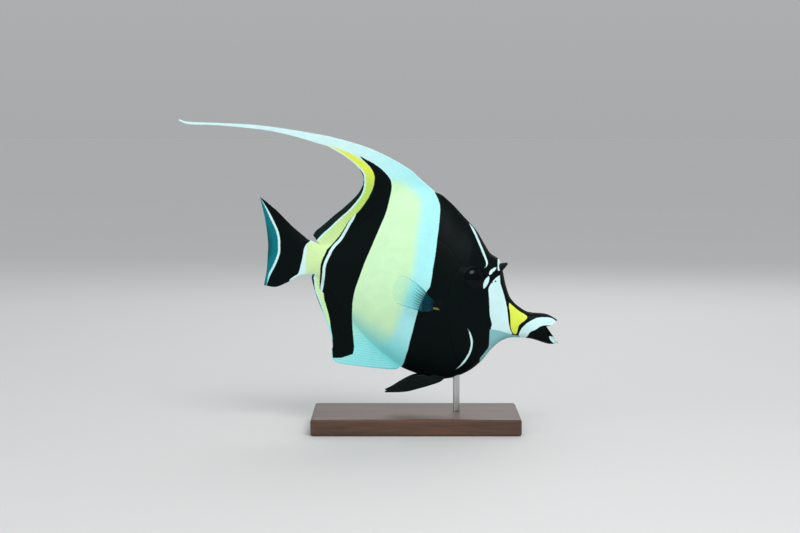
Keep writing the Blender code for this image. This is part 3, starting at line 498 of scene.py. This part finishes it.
def relax(values, faces, weight, rounds):
    """Values evened out with their neighbours where the weight is above nothing."""
    a, b = np.unique(np.sort(face_edges(faces), axis=1), axis=0).T
    size = len(values)
    degree = np.bincount(a, minlength=size) + np.bincount(b, minlength=size)
    for _ in range(rounds):
        total = np.bincount(a, values[b], size) + np.bincount(b, values[a], size)
        values = values + weight * (total / np.maximum(degree, 1) - values)
    return values


def fin_grid(base, edge, first, last, per_ray, root=FIN_ROOT, power=1.6, fork=2.0):
    """A fin of the middle line between four lines, with its half thickness and rays."""
    columns, rows = len(base) - 1, len(first) - 1
    return (patch(base, edge, first, last), membrane(columns, rows, root, FIN_EDGE, power),
            ridges(columns, rows, per_ray, fork))


def tail_grid(base):
    """The tail fin, with forked rays."""
    top = smooth([base[0]] + TAIL_TOP, TAIL_ROWS)
    bottom = smooth([base[-1]] + TAIL_BOTTOM, TAIL_ROWS)
    root = half_width(base[:, 0], base[:, 1])
    return fin_grid(base, smooth(TAIL_EDGE, ROWS), top, bottom, 13, root, 2.5, 0.45)


def dorsal_grids(rear_base, front_base):
    """The dorsal fin in two parts, and the streamer that its front runs out to."""
    split = smooth([front_base[-1]] + DORSAL_SPLIT, DORSAL_ROWS)
    lead = smooth([front_base[0]] + DORSAL_LEAD, DORSAL_ROWS)
    edge = chain(smooth([DORSAL_LEAD[-1], DORSAL_EDGE_FRONT[0]], STREAMER_COLUMNS),
                 smooth(DORSAL_EDGE_FRONT, MID_COLUMNS - STREAMER_COLUMNS))
    front = fin_grid(front_base, edge, lead, split, 4)

    top, bottom = smooth(STREAMER_TOP, STREAMER_ROWS), smooth(STREAMER_BOTTOM, STREAMER_ROWS)
    tip = smooth([top[-1], bottom[-1]], STREAMER_COLUMNS)
    grid = patch(edge[:STREAMER_COLUMNS + 1], tip, top, bottom)
    thinning = (1.0 - np.linspace(0.0, 1.0, STREAMER_ROWS + 1))[None, :]
    fine = 0.55 * (0.5 - 0.5 * np.cos(np.arange(STREAMER_COLUMNS + 1) * math.pi / 2))[:, None] * thinning
    streamer = (grid, np.full(grid.shape[:2], FIN_EDGE), fine)

    edge = smooth(DORSAL_EDGE_REAR, REAR_COLUMNS)
    rear = fin_grid(rear_base, edge, split, smooth([rear_base[-1], edge[-1]], DORSAL_ROWS), 4)
    return [front, streamer, rear]


def anal_grid(base):
    """The anal fin."""
    edge = smooth(ANAL_EDGE, len(base) - 1)
    lead = smooth([base[0]] + ANAL_LEAD, ANAL_ROWS)
    return fin_grid(base, edge, lead, smooth([base[-1], edge[-1]], ANAL_ROWS), 5)


def skin_grids():
    """The side view in grids that share their edges, and the lines where the fins stand."""
    belly_fin = along(belly, *ANAL_X, REAR_COLUMNS + MID_COLUMNS)
    back_rear = along(back, *DORSAL_X[:2], REAR_COLUMNS)
    back_mid = along(back, *DORSAL_X[1:], MID_COLUMNS)
    hinge = (HINGE_X, float(belly(HINGE_X)))
    seam = smooth([hinge] + JAW_SEAM, SEAM_COLUMNS)
    low = chain(along(belly, TAIL_ROOT_X, ANAL_X[0], STALK_COLUMNS), belly_fin,
                along(belly, ANAL_X[1], THROAT_X, CHEST_COLUMNS),
                along(belly, THROAT_X, CHIN_X, FACE_COLUMNS),
                along(belly, CHIN_X, HINGE_X, CHIN_COLUMNS), seam, smooth(MOUTH_ROOF, ROOF_COLUMNS))
    high = chain(along(back, TAIL_ROOT_X, DORSAL_X[0], STALK_COLUMNS), back_rear, back_mid,
                 along(back, DORSAL_X[2], BROW_X, CHEST_COLUMNS),
                 along(back, BROW_X, SNOUT_X, FACE_COLUMNS),
                 along(back, SNOUT_X, BACK[-1][0], CHIN_COLUMNS + SEAM_COLUMNS + ROOF_COLUMNS))
    body = ruled(low, high, ROWS)
    jaw_low = along(belly, HINGE_X, BELLY[-1][0], SEAM_COLUMNS + FLOOR_COLUMNS)
    jaw_low[0] = hinge
    jaw = ruled(jaw_low, chain(seam, smooth(MOUTH_FLOOR, FLOOR_COLUMNS)), JAW_ROWS)

    pieces = [(grid, half_width(grid[..., 0], grid[..., 1], widest), np.zeros(grid.shape[:2]))
              for grid, widest in ((body, girth), (jaw, jaw_girth))]
    pieces += [tail_grid(body[0, ::-1])] + dorsal_grids(back_rear[::-1], back_mid[::-1])
    pieces += [anal_grid(belly_fin[::-1])]
    return pieces, (chain(back_rear, back_mid), belly_fin, body[0])


def from_lips(x, z):
    """Distance to the edges of the mouth."""
    return np.minimum(distance(x, z, smooth(MOUTH_ROOF, 16)), distance(x, z, smooth(MOUTH_FLOOR, 20)))


def mouth_depth(x, z):
    """How far the mouth is hollowed behind its edges, halfway across."""
    corner = np.hypot(x - MOUTH_CORNER[0], z - MOUTH_CORNER[1])
    return np.where(from_lips(x, z) < 0.05, 1.1 + 3.2 * np.exp(-corner / 1.6), 0.0)


def sculpt(x, z, half):
    """Details of the head and flank, raised from or sunk into the half width."""
    from_eye = np.hypot(x - EYE_CENTRE[0], z - EYE_CENTRE[1])
    half = half + 0.35 * bell(from_eye - RIM_RADIUS, 0.6)
    half = half - 2.4 * step(RIM_RADIUS - from_eye, 0.1, 1.6)

    gill = smooth(GILL_LINE, 60)
    order = np.argsort(gill[:, 1])
    ahead = x - np.interp(z, gill[order, 1], gill[order, 0])
    window = step(z, -44.0, -38.0) * step(19.0 - z, 0.0, 5.0)
    half = half + 0.5 * step(ahead, -0.3, 0.9) * bell(np.maximum(ahead, 0.0), 11.0) * window
    half = half - 0.15 * bell(ahead + 0.5, 0.5) * window

    half = half - 0.1 * bell(distance(x, z, smooth(LATERAL_LINE, 50)), 0.45)
    lips = from_lips(x, z)
    half = half + 0.45 * bell(lips, 0.75) - 0.3 * bell(lips - 1.5, 0.4)
    half = half - 0.3 * bell(distance(x, z, smooth(JAW_GROOVE, 12)), 0.45)

    for at_x, at_z, radius in NOSTRILS:
        away = np.hypot(x - at_x, z - at_z)
        half = half - 0.7 * bell(away, radius) + 0.18 * bell(away - 1.6 * radius, 0.3)

    root = np.hypot((x - FIN_BOSS[0]) / 3.4, (z - FIN_BOSS[1]) / 3.2)
    return half + 1.1 * bell(root, 1.0)


def markings(x, z):
    """Distances to the markings, to the painted shade on the throat and to the painted shade in the nostrils,
    with a minus sign inside each, and amounts of three colours, one of them, aqua low on the body, partly
    painted shade.
    """
    front = distance(x, z, FRONT_BAND + AHEAD, closed=True)
    rear_band = chain(smooth(REAR_BAND_FRONT, 60), np.array(REAR_BAND_BOTTOM), smooth(REAR_BAND_REAR, 70))
    rear = distance(x, z, rear_band, closed=True)
    crescent = smooth(TAIL_CRESCENT, 40)
    tail = distance(x, z, np.vstack([smooth(TAIL_BASE, 24), crescent[::-1]]), closed=True)
    behind = distance(x, z, np.vstack([crescent, BEHIND]), closed=True)
    white = [region(x, z, outline) for outline in WHITE_PATCHES]
    white += [stripe(x, z, *line) for line in PALE_LINES]
    dorsal = distance(x, z, np.vstack([smooth(DORSAL_MARGIN, 50), DORSAL_MARGIN_FAR]), closed=True)
    anal = distance(x, z, np.vstack([smooth(ANAL_MARGIN, 36), ANAL_MARGIN_FAR]), closed=True)
    smoke = np.minimum(dorsal, anal)
    return {
        "black": np.minimum(np.minimum(front, rear), tail),
        "white": np.minimum.reduce(white),
        "yellow": np.maximum(distance(x, z, YELLOW_BAND, closed=True), MARGIN_LINE - smoke),
        "saddle": region(x, z, SADDLE),
        "mark": stripe(x, z, PECTORAL_MARK, 0.55, 2.0),
        # Painted shade in the nostril pits
        "nostril_shade": np.minimum.reduce([np.hypot(x - at_x, z - at_z) - radius for at_x, at_z, radius in NOSTRILS]),
        # Painted shade on the throat's white underside
        "throat_shade": region(x, z, THROAT),
        "lemon": region(x, z, LEMON_PATCH, 2.0),
        "smoke": smoke,
        "teal": behind + CRESCENT_WIDTH * step(z, -22.0, -12.0) * step(31.0 - z, 0.0, 14.0),
        "warmth": step(z, 8.0, 46.0) + step(z, 50.0, 62.0),
        "ice": step(x, 0.0, 66.0),
        # Aqua towards the bottom of the body, partly own colour and partly painted shade, less on the fins
        "aqua_and_shade": step(0.3 * (56.0 - x) - z, 24.0, 46.0) * (1.0 - 0.35 * step(belly(x) - z, 0.0, 5.0)),
    }


def mesh_object(name, points, faces, finish, fields=None):
    """An object put in the pose of the fish, its faces without repeated corners."""
    kept = []
    for face in faces.tolist():
        corners = [corner for k, corner in enumerate(face) if corner != face[k - 1]]
        if len(set(corners)) > 2:
            kept.append(corners)
    x, y, z = points.T
    wide, high = tipped(x, z)
    mesh = bpy.data.meshes.new(name)
    mesh.from_pydata((np.c_[wide, y, high] * MM).tolist(), [], kept)
    for key, values in (fields or {}).items():
        layer = mesh.attributes.new(key, "FLOAT", "POINT")
        layer.data.foreach_set("value", values.astype(np.float32))
    mesh.shade_smooth()
    mesh.update()
    mesh.materials.append(finish)
    thing = bpy.data.objects.new(name, mesh)
    bpy.context.scene.collection.objects.link(thing)
    return thing


def doubled(points, half, faces, middle, depth, fields):
    """Two flanks from a side view sheet, closed round the rim by a rounded or hollowed strip."""
    count = len(points)
    x, z = points.T
    edges = rim_edges(faces)
    way = points[edges[:, 1]] - points[edges[:, 0]]
    out = np.c_[way[:, 1], -way[:, 0]]
    out /= np.maximum(np.linalg.norm(out, axis=1, keepdims=True), 1e-9)
    normal = np.zeros((count, 2))
    np.add.at(normal, edges[:, 0], out)
    np.add.at(normal, edges[:, 1], out)
    rim = np.unique(edges)
    normal = normal[rim] / np.maximum(np.linalg.norm(normal[rim], axis=1, keepdims=True), 1e-9)
    hollow = depth[rim] > 0
    amount = np.where(hollow, -depth[rim], np.minimum(0.5 * half[rim], RIM_BULGE))
    power = np.where(hollow, 2.5, 1.0)

    rings = [np.c_[x, middle + half, z], np.c_[x, middle - half, z]]
    number = np.full((count, RIM_STEPS + 1), -1)
    number[:, 0] = np.arange(count)
    number[:, -1] = np.arange(count) + count
    for k in range(1, RIM_STEPS):
        turn = math.pi * k / RIM_STEPS
        moved = points[rim] + normal * (amount * math.sin(turn) ** power)[:, None]
        rings.append(np.c_[moved[:, 0], middle[rim] + half[rim] * math.cos(turn), moved[:, 1]])
        number[rim, k] = 2 * count + (k - 1) * len(rim) + np.arange(len(rim))
    starts, ends = number[edges[:, 0]], number[edges[:, 1]]
    strips = [np.c_[starts[:, k], ends[:, k], ends[:, k + 1], starts[:, k + 1]] for k in range(RIM_STEPS)]
    all_faces = np.vstack([faces[:, ::-1], faces + count] + strips)
    sources = np.concatenate([np.arange(count), np.arange(count)] + [rim] * (RIM_STEPS - 1))
    return np.vstack(rings), all_faces, {key: values[sources] for key, values in fields.items()}


def build_skin(finish):
    """The body, jaw and middle fins as one closed surface."""
    pieces, fin_bases = skin_grids()
    points, half, ridge, faces = weld(pieces)
    x, z = points.T
    near = np.minimum.reduce([distance(x, z, even_steps(line, 60)) for line in fin_bases])
    half = relax(half, faces, 0.9 * (1.0 - step(near, 0.5, 6.0)), 120)
    half = np.maximum(sculpt(x, z, half) + RAY_HEIGHT * ridge, 0.2)
    fields = markings(*seen(x, half, z))
    fields["ridge"] = ridge
    points, faces, fields = doubled(points, half, faces, np.zeros(len(x)), mouth_depth(x, z), fields)
    return mesh_object("skin", points, faces, finish, fields)


def side_fin(name, side, root, spread, grid, half, ridge, height, finish):
    """A fin off the middle line that leans out from its root, as a closed surface."""
    points, half, ridge, faces = weld([(grid, half, ridge)])
    x, z = points.T
    fields = {"ridge": ridge, "reach": distance(x, z, grid[:, 0]),
              "border": np.minimum(distance(x, z, grid[0]), distance(x, z, grid[-1]))}
    half = half + height * ridge
    middle = side * (root[1] + (root[0] - x) * math.tan(spread))
    points, faces, fields = doubled(points, half, faces, middle, np.zeros(len(x)), fields)
    return mesh_object(name, points, faces, finish, fields)


def build_pectoral(side, hand, finish):
    """The clear fin that fans out from a flank."""
    columns, rows = 108, 70
    bottom = smooth([PECTORAL_ROOT[0]] + PECTORAL_BOTTOM, rows)
    top = smooth([PECTORAL_ROOT[1]] + PECTORAL_TOP, rows)
    grid = patch(smooth(PECTORAL_ROOT, columns), smooth(PECTORAL_EDGE, columns), bottom, top)
    root_x, root_z = np.mean(PECTORAL_ROOT, axis=0)
    root = (root_x, half_width(root_x, root_z) - 1.0)
    return side_fin("pectoral_fin_%s_skin" % hand, side, root, PECTORAL_SPREAD, grid,
                    membrane(columns, rows, 0.55, 0.16), ridges(columns, rows, 12, 0.5), 0.14, finish)


def build_pelvic(side, hand, finish):
    """The pointed fin under the belly."""
    columns, rows = 36, 100
    front = smooth([PELVIC_ROOT[0]] + PELVIC_FRONT, rows)
    rear = smooth([PELVIC_ROOT[1]] + PELVIC_REAR, rows)
    tip = smooth([PELVIC_FRONT[-1], PELVIC_REAR[-1]], columns)
    grid = patch(smooth(PELVIC_ROOT, columns), tip, front, rear)
    root = (PELVIC_ROOT[0][0], PELVIC_SIDE)
    return side_fin("pelvic_fin_%s_skin" % hand, side, root, PELVIC_SPREAD, grid,
                    membrane(columns, rows, 0.9, 0.2), ridges(columns, rows, 6), 0.2, finish)


def turns(around):
    """Angles at even steps round a circle."""
    return [2 * math.pi * m / around for m in range(around)]


def tube_faces(rings, around, closed_ring):
    """Faces between rings of points, and a fan across one of the rings."""
    faces = []
    for k in range(rings):
        for m in range(around):
            n = (m + 1) % around
            faces.append((k * around + m, (k + 1) * around + m, (k + 1) * around + n, k * around + n))
    first = closed_ring * around
    faces += [(first, first + m, first + m + 1, first + m + 1) for m in range(1, around - 1)]
    return np.array(faces)


def surface_normal(x, z):
    """Which way the left side of the head faces at a point."""
    reach = 0.5
    along_x = (half_width(x + reach, z) - half_width(x - reach, z)) / (2 * reach)
    along_z = (half_width(x, z + reach) - half_width(x, z - reach)) / (2 * reach)
    return Vector((-along_x, 1.0, -along_z)).normalized()


def build_eye(side, hand, finish):
    """A glossy flattened ball, with its distance from the middle kept for the iris."""
    x, z = EYE_CENTRE
    normal = surface_normal(x, z)
    centre = Vector((x, float(half_width(x, z)), z)) - normal * EYE_SUNK
    normal.y *= side
    centre.y *= side
    turn = np.array(normal.to_track_quat("Z", "X").to_matrix())
    around, rings = 96, 40
    wide, deep = EYE_RADII
    tilts = [0.5 * math.pi * k / rings for k in range(rings + 1)]
    profile = [(wide * math.sin(tilt), deep * math.cos(tilt)) for tilt in tilts] + [(0.6 * wide, -0.6 * deep)]
    points = [(across * math.cos(angle), across * math.sin(angle), height)
              for across, height in profile for angle in turns(around)]
    radii = [across for across, height in profile[:-1]] + [wide]
    return mesh_object("eye_%s_ball" % hand, np.array(points) @ turn.T + np.array(centre),
                       tube_faces(rings + 1, around, rings + 1), finish, {"radius": np.repeat(radii, around)})


def build_horn(side, hand, finish):
    """The short horn over an eye, flattened and pointed."""
    start = np.array(HORN_ROOT) * (1, side, 1)
    way = np.array(HORN_TIP) * (1, side, 1) - start
    across = np.cross(way, (0.0, 0.0, 1.0))
    across /= np.linalg.norm(across)
    up = np.cross(across, way / np.linalg.norm(way))
    around, rings = 36, 40
    points = []
    for k in range(rings + 1):
        f = k / rings
        taper = (1.0 - f) ** 0.8
        for angle in turns(around):
            points.append(start + way * f + taper * (HORN_RADII[0] * across * math.cos(angle)
                                                     + HORN_RADII[1] * up * math.sin(angle)))
    return mesh_object("horn_%s_skin" % hand, np.array(points), tube_faces(rings, around, 0), finish)


def connect(tree, socket, value):
    """Gives an input a value or another node's output."""
    if isinstance(value, bpy.types.NodeSocket):
        tree.links.new(value, socket)
    else:
        socket.default_value = value


def add(tree, kind, inputs=None, **settings):
    """A node, with its settings and its inputs as values or as other nodes' outputs."""
    made = tree.nodes.new(kind)
    for key, value in settings.items():
        setattr(made, key, value)
    for key, value in (inputs or {}).items():
        connect(tree, made.inputs[key], value)
    return made


def material(name, roughness, constants=None):
    """A finish, its nodes, its shader's inputs with constants set, and the place on the object."""
    made = bpy.data.materials.new(name)
    made.use_nodes = True
    tree = made.node_tree
    inputs = tree.nodes["Principled BSDF"].inputs
    for key, value in {"Roughness": roughness, **(constants or {})}.items():
        inputs[key].default_value = value
    return made, tree, inputs, add(tree, "ShaderNodeTexCoord").outputs["Object"]


def maths(tree, operation, a, b=0.0, c=0.0, clamp=False):
    """The result of a sum, product or other small calculation."""
    return add(tree, "ShaderNodeMath", {0: a, 1: b, 2: c}, operation=operation, use_clamp=clamp).outputs[0]


def blend(tree, factor, below, above):
    """One colour over another, each a colour without alpha or a node's output."""
    made = add(tree, "ShaderNodeMix", data_type="RGBA")
    for key, value in (("Factor", factor), ("A", below), ("B", above)):
        socket = [s for s in made.inputs if s.name == key and s.enabled][0]
        connect(tree, socket, (*value, 1.0) if isinstance(value, tuple) else value)
    return [s for s in made.outputs if s.enabled][0]


def shaded(tree, base, amount):
    """A colour made darker or lighter."""
    return add(tree, "ShaderNodeVectorMath", {0: base, 1: amount}, operation="MULTIPLY").outputs[0]


def field(tree, name):
    """A value kept on the mesh."""
    return add(tree, "ShaderNodeAttribute", attribute_name=name).outputs["Fac"]


def ramp(tree, value, start, end, first=0.0, last=1.0, way="LINEAR"):
    """An even change from one value to another."""
    ends = {"Value": value, "From Min": start, "From Max": end, "To Min": first, "To Max": last}
    return add(tree, "ShaderNodeMapRange", ends, interpolation_type=way).outputs["Result"]


def fade(tree, value, start, end, first=0.0, last=1.0):
    """A smooth change from one value to another."""
    return ramp(tree, value, start, end, first, last, "SMOOTHSTEP")


def inside(tree, name, soft, wobble=0.0):
    """1 inside a marking and 0 outside, with an edge some millimetres soft."""
    return fade(tree, maths(tree, "ADD", field(tree, name), wobble), soft, -soft)


def noise(tree, place, scale, detail=2.0):
    """Noise around nothing, from about -0.5 to 0.5."""
    made = add(tree, "ShaderNodeTexNoise", {"Vector": place, "Scale": scale, "Detail": detail})
    return maths(tree, "SUBTRACT", made.outputs["Fac"], 0.5)


def stretched(tree, place, scale):
    """A place on the object, scaled differently along each axis."""
    return add(tree, "ShaderNodeMapping", {"Vector": place, "Scale": scale}).outputs[0]


def emboss(tree, inputs, height, strength, depth):
    """Fine relief in the material alone, its depth in metres."""
    bump = add(tree, "ShaderNodeBump", {"Height": height, "Strength": strength, "Distance": depth})
    tree.links.new(bump.outputs["Normal"], inputs["Normal"])


def skin_finish():
    """The skin: markings, painted shade on the throat, in the nostrils and partly low on the body, minute
    scales and a damp sheen.
    """
    made, tree, inputs, place = material("moorish skin", 0.38, {
        "Subsurface Weight": 0.12, "Subsurface Radius": (1.0, 0.9, 0.7), "Subsurface Scale": 0.0012,
        "Specular IOR Level": 0.06})
    wobble = maths(tree, "MULTIPLY", noise(tree, place, 900.0), 0.35)

    base = blend(tree, field(tree, "ice"), WHITE, ICE)
    base = blend(tree, inside(tree, "lemon", 3.6), base, LEMON)
    # Aqua low on the body: partly own colour, partly painted shade
    base = blend(tree, field(tree, "aqua_and_shade"), base, AQUA_AND_SHADE)
    yellow = blend(tree, field(tree, "warmth"), PALE_YELLOW, LIME)
    yellow = blend(tree, maths(tree, "SUBTRACT", field(tree, "warmth"), 1.0), yellow, YELLOW)
    # The throat's grey-green is painted shade on its white underside
    for name, soft, shade in (("yellow", 0.6, yellow), ("black", 0.16, BLACK), ("white", 0.14, WHITE),
                              ("throat_shade", 0.2, THROAT_SHADE), ("saddle", 0.16, YELLOW), ("mark", 0.3, OLIVE)):
        base = blend(tree, inside(tree, name, soft, wobble), base, shade)
    # The nostril pits darkened with painted shade
    base = blend(tree, inside(tree, "nostril_shade", 0.2), base, NOSTRIL_SHADE)
    smoke, teal = inside(tree, "smoke", 0.2, wobble), inside(tree, "teal", 0.25, wobble)
    base = blend(tree, smoke, base, SMOKE)
    base = blend(tree, teal, base, blend(tree, fade(tree, field(tree, "teal"), -1.5, -7.5), TEAL, DEEP_TEAL))
    mottle = maths(tree, "MULTIPLY_ADD", noise(tree, place, 160.0, 4.0), 0.14, 1.0)
    rayed = maths(tree, "MULTIPLY_ADD", field(tree, "ridge"), -0.09, mottle)
    tree.links.new(shaded(tree, base, rayed), inputs["Base Color"])

    clear = maths(tree, "MAXIMUM", maths(tree, "MULTIPLY", smoke, 0.1), maths(tree, "MULTIPLY", teal, 0.06))
    tree.links.new(maths(tree, "SUBTRACT", 1.0, clear), inputs["Alpha"])
    rough = maths(tree, "MULTIPLY_ADD", noise(tree, place, 500.0, 3.0), 0.2, 0.42)
    tree.links.new(rough, inputs["Roughness"])

    scales = add(tree, "ShaderNodeTexVoronoi", {"Vector": place, "Scale": 1500.0}).outputs["Distance"]
    relief = maths(tree, "MULTIPLY_ADD", noise(tree, place, 2600.0, 3.0), 0.5, scales)
    emboss(tree, inputs, relief, 0.35, 0.00012)
    return made


def clear_finish():
    """A side fin: a clear membrane, dark at its root, with fine dark rays."""
    made, tree, inputs, place = material("clear fin", 0.35, {"Specular IOR Level": 0.1})
    reach = field(tree, "reach")
    ridge = maths(tree, "POWER", field(tree, "ridge"), 1.6)
    ray = maths(tree, "MULTIPLY", ridge, fade(tree, reach, 9.0, 25.0, 1.0, 0.08))
    edge = fade(tree, field(tree, "border"), 0.05, 0.5, 0.7, 0.0)
    border = maths(tree, "MULTIPLY", edge, fade(tree, reach, 14.0, 27.0, 1.0, 0.3))
    line = maths(tree, "MAXIMUM", maths(tree, "MULTIPLY", ray, 0.9), border)
    near, far = fade(tree, reach, 4.0, 11.0, 0.65, 0.0), fade(tree, reach, 8.0, 24.0, 0.3, 0.07)
    tree.links.new(maths(tree, "MAXIMUM", line, maths(tree, "ADD", near, far)), inputs["Alpha"])
    root = blend(tree, fade(tree, reach, 0.5, 5.0), BLACK, ROOT_TEAL)
    base = blend(tree, line, blend(tree, fade(tree, reach, 7.0, 15.0), root, FILM_CYAN), root)
    mottle = maths(tree, "MULTIPLY_ADD", noise(tree, place, 300.0, 3.0), 0.3, 1.0)
    tree.links.new(shaded(tree, base, mottle), inputs["Base Color"])
    return made


def dark_finish():
    """Black fin skin with fine rays."""
    made, tree, inputs, place = material("dark fin", 0.4, {"Specular IOR Level": 0.1})
    tree.links.new(blend(tree, field(tree, "ridge"), FIN_BLACK, BLACK), inputs["Base Color"])
    emboss(tree, inputs, noise(tree, place, 1800.0, 3.0), 0.3, 0.0001)
    return made


def eye_finish():
    """A dark wet eye with a faint iris."""
    made, tree, inputs, place = material("eye", 0.12, {
        "Specular IOR Level": 0.05, "Coat Weight": 0.12, "Coat Roughness": 0.04})
    ragged = maths(tree, "MULTIPLY_ADD", noise(tree, place, 1200.0, 3.0), 0.5, field(tree, "radius"))
    iris = ramp(tree, ragged, 3.0, 3.3)
    streak = maths(tree, "MULTIPLY_ADD", noise(tree, place, 700.0, 4.0), 0.8, 0.5, clamp=True)
    shade = blend(tree, iris, EYE_BLUE, blend(tree, streak, EYE_BLUE, IRIS_BLUE))
    tree.links.new(shade, inputs["Base Color"])
    return made


def wood_finish():
    """Dark stained wood with its grain along the base."""
    made, tree, inputs, place = material("stained wood", 0.38, {"Coat Weight": 0.18, "Coat Roughness": 0.15})
    grain = stretched(tree, place, (9.0, 110.0, 110.0))
    rings = add(tree, "ShaderNodeTexNoise", {"Vector": grain, "Scale": 1.0, "Detail": 6.0,
                                             "Roughness": 0.62, "Distortion": 0.6}).outputs["Fac"]
    fine = stretched(tree, place, (60.0, 1800.0, 1800.0))
    pores = add(tree, "ShaderNodeTexNoise", {"Vector": fine, "Scale": 1.0, "Detail": 3.0}).outputs["Fac"]
    mix = maths(tree, "MULTIPLY_ADD", pores, 0.35, maths(tree, "MULTIPLY", rings, 0.8), clamp=True)
    shade = blend(tree, ramp(tree, mix, 0.38, 0.75), WOOD_DARK, WOOD_LIGHT)
    tree.links.new(shade, inputs["Base Color"])
    emboss(tree, inputs, pores, 0.2, 0.0002)
    return made


def steel_finish():
    """Brushed steel."""
    made, tree, inputs, place = material("brushed steel", 0.3, {"Base Color": STEEL, "Metallic": 1.0})
    brushed = noise(tree, stretched(tree, place, (400.0, 400.0, 9000.0)), 1.0)
    tree.links.new(maths(tree, "MULTIPLY_ADD", brushed, 0.25, 0.32), inputs["Roughness"])
    emboss(tree, inputs, brushed, 0.1, 0.00005)
    return made


def floor_finish():
    """A plain pale floor."""
    made, tree, inputs, place = material("pale floor", 0.7)
    tint = maths(tree, "MULTIPLY_ADD", noise(tree, place, 3.0, 3.0), 0.03, FLOOR_GREY)
    both = add(tree, "ShaderNodeCombineColor", {"Red": tint, "Green": tint, "Blue": tint})
    tree.links.new(both.outputs[0], inputs["Base Color"])
    return made


def aimed(name, data, place, target):
    """A light or camera at one place that looks at another, both in metres."""
    thing = bpy.data.objects.new(name, data)
    thing.location = place
    thing.rotation_euler = (Vector(target) - Vector(place)).to_track_quat("-Z", "Y").to_euler()
    bpy.context.scene.collection.objects.link(thing)
    return thing


def add_light(name, place, size, power):
    """A soft round light that points at the model."""
    lamp = bpy.data.lights.new(name, "AREA")
    lamp.shape = "DISK"
    lamp.size = size
    lamp.energy = power
    aimed(name, lamp, place, LIGHT_TARGET)


def build_sky():
    """Even grey light, paler overhead."""
    sky = bpy.data.worlds.new("soft sky")
    sky.use_nodes = True
    tree = sky.node_tree
    way = add(tree, "ShaderNodeTexCoord").outputs["Generated"]
    height = add(tree, "ShaderNodeSeparateXYZ", {0: way}).outputs["Z"]
    shade = blend(tree, ramp(tree, height, 0.0, 0.6), SKY_LOW, SKY_HIGH)
    tree.links.new(shade, tree.nodes["Background"].inputs["Color"])
    bpy.context.scene.world = sky
    bpy.context.scene.view_settings.view_transform = "Standard"


def build_camera():
    """The camera, from the fish's right side."""
    lens = bpy.data.cameras.new("camera")
    lens.lens = CAMERA_LENS
    lens.sensor_width = CAMERA_SENSOR
    target = Vector(VIEW_CENTRE) * MM
    away = Vector((0.0, -math.cos(CAMERA_TILT), math.sin(CAMERA_TILT))) * CAMERA_DISTANCE * MM
    bpy.context.scene.camera = aimed("camera", lens, target + away, target)


def build_stage():
    """Floor, lights, sky and camera."""
    bpy.ops.mesh.primitive_plane_add(size=FLOOR_SIZE, location=(0.0, 0.0, 0.0))
    floor = bpy.context.object
    floor.name = "floor"
    floor.data.materials.append(floor_finish())
    for light in LIGHTS:
        add_light(*light)
    build_sky()
    build_camera()


def repaint(node, finish):
    """A better material for a part that keeps its shape."""
    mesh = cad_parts[node].data
    mesh.materials.clear()
    mesh.materials.append(finish)


def main():
    """The whole scene."""
    skin = build_skin(skin_finish())
    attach(skin, "root")
    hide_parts("head", "jaw_lower", "trunk_front", "trunk_rear", "tail_stalk", "dorsal_fin_front",
                "dorsal_fin_rear", "dorsal_streamer", "anal_fin", "tail_fin")
    clear, dark, wet = clear_finish(), dark_finish(), eye_finish()
    for side, hand in ((1, "left"), (-1, "right")):
        pieces = [(build_pectoral(side, hand, clear), "pectoral_fin_", "clear_fin"),
                  (build_pelvic(side, hand, dark), "pelvic_fin_", "fin"),
                  (build_eye(side, hand, wet), "eye_", "eye"),
                  (build_horn(side, hand, dark), "horn_", "horn")]
        for thing, node, slot in pieces:
            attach(thing, "root")
            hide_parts(node + hand)
    repaint("stand_base", wood_finish())
    repaint("stand_rod", steel_finish())
    build_stage()


main()
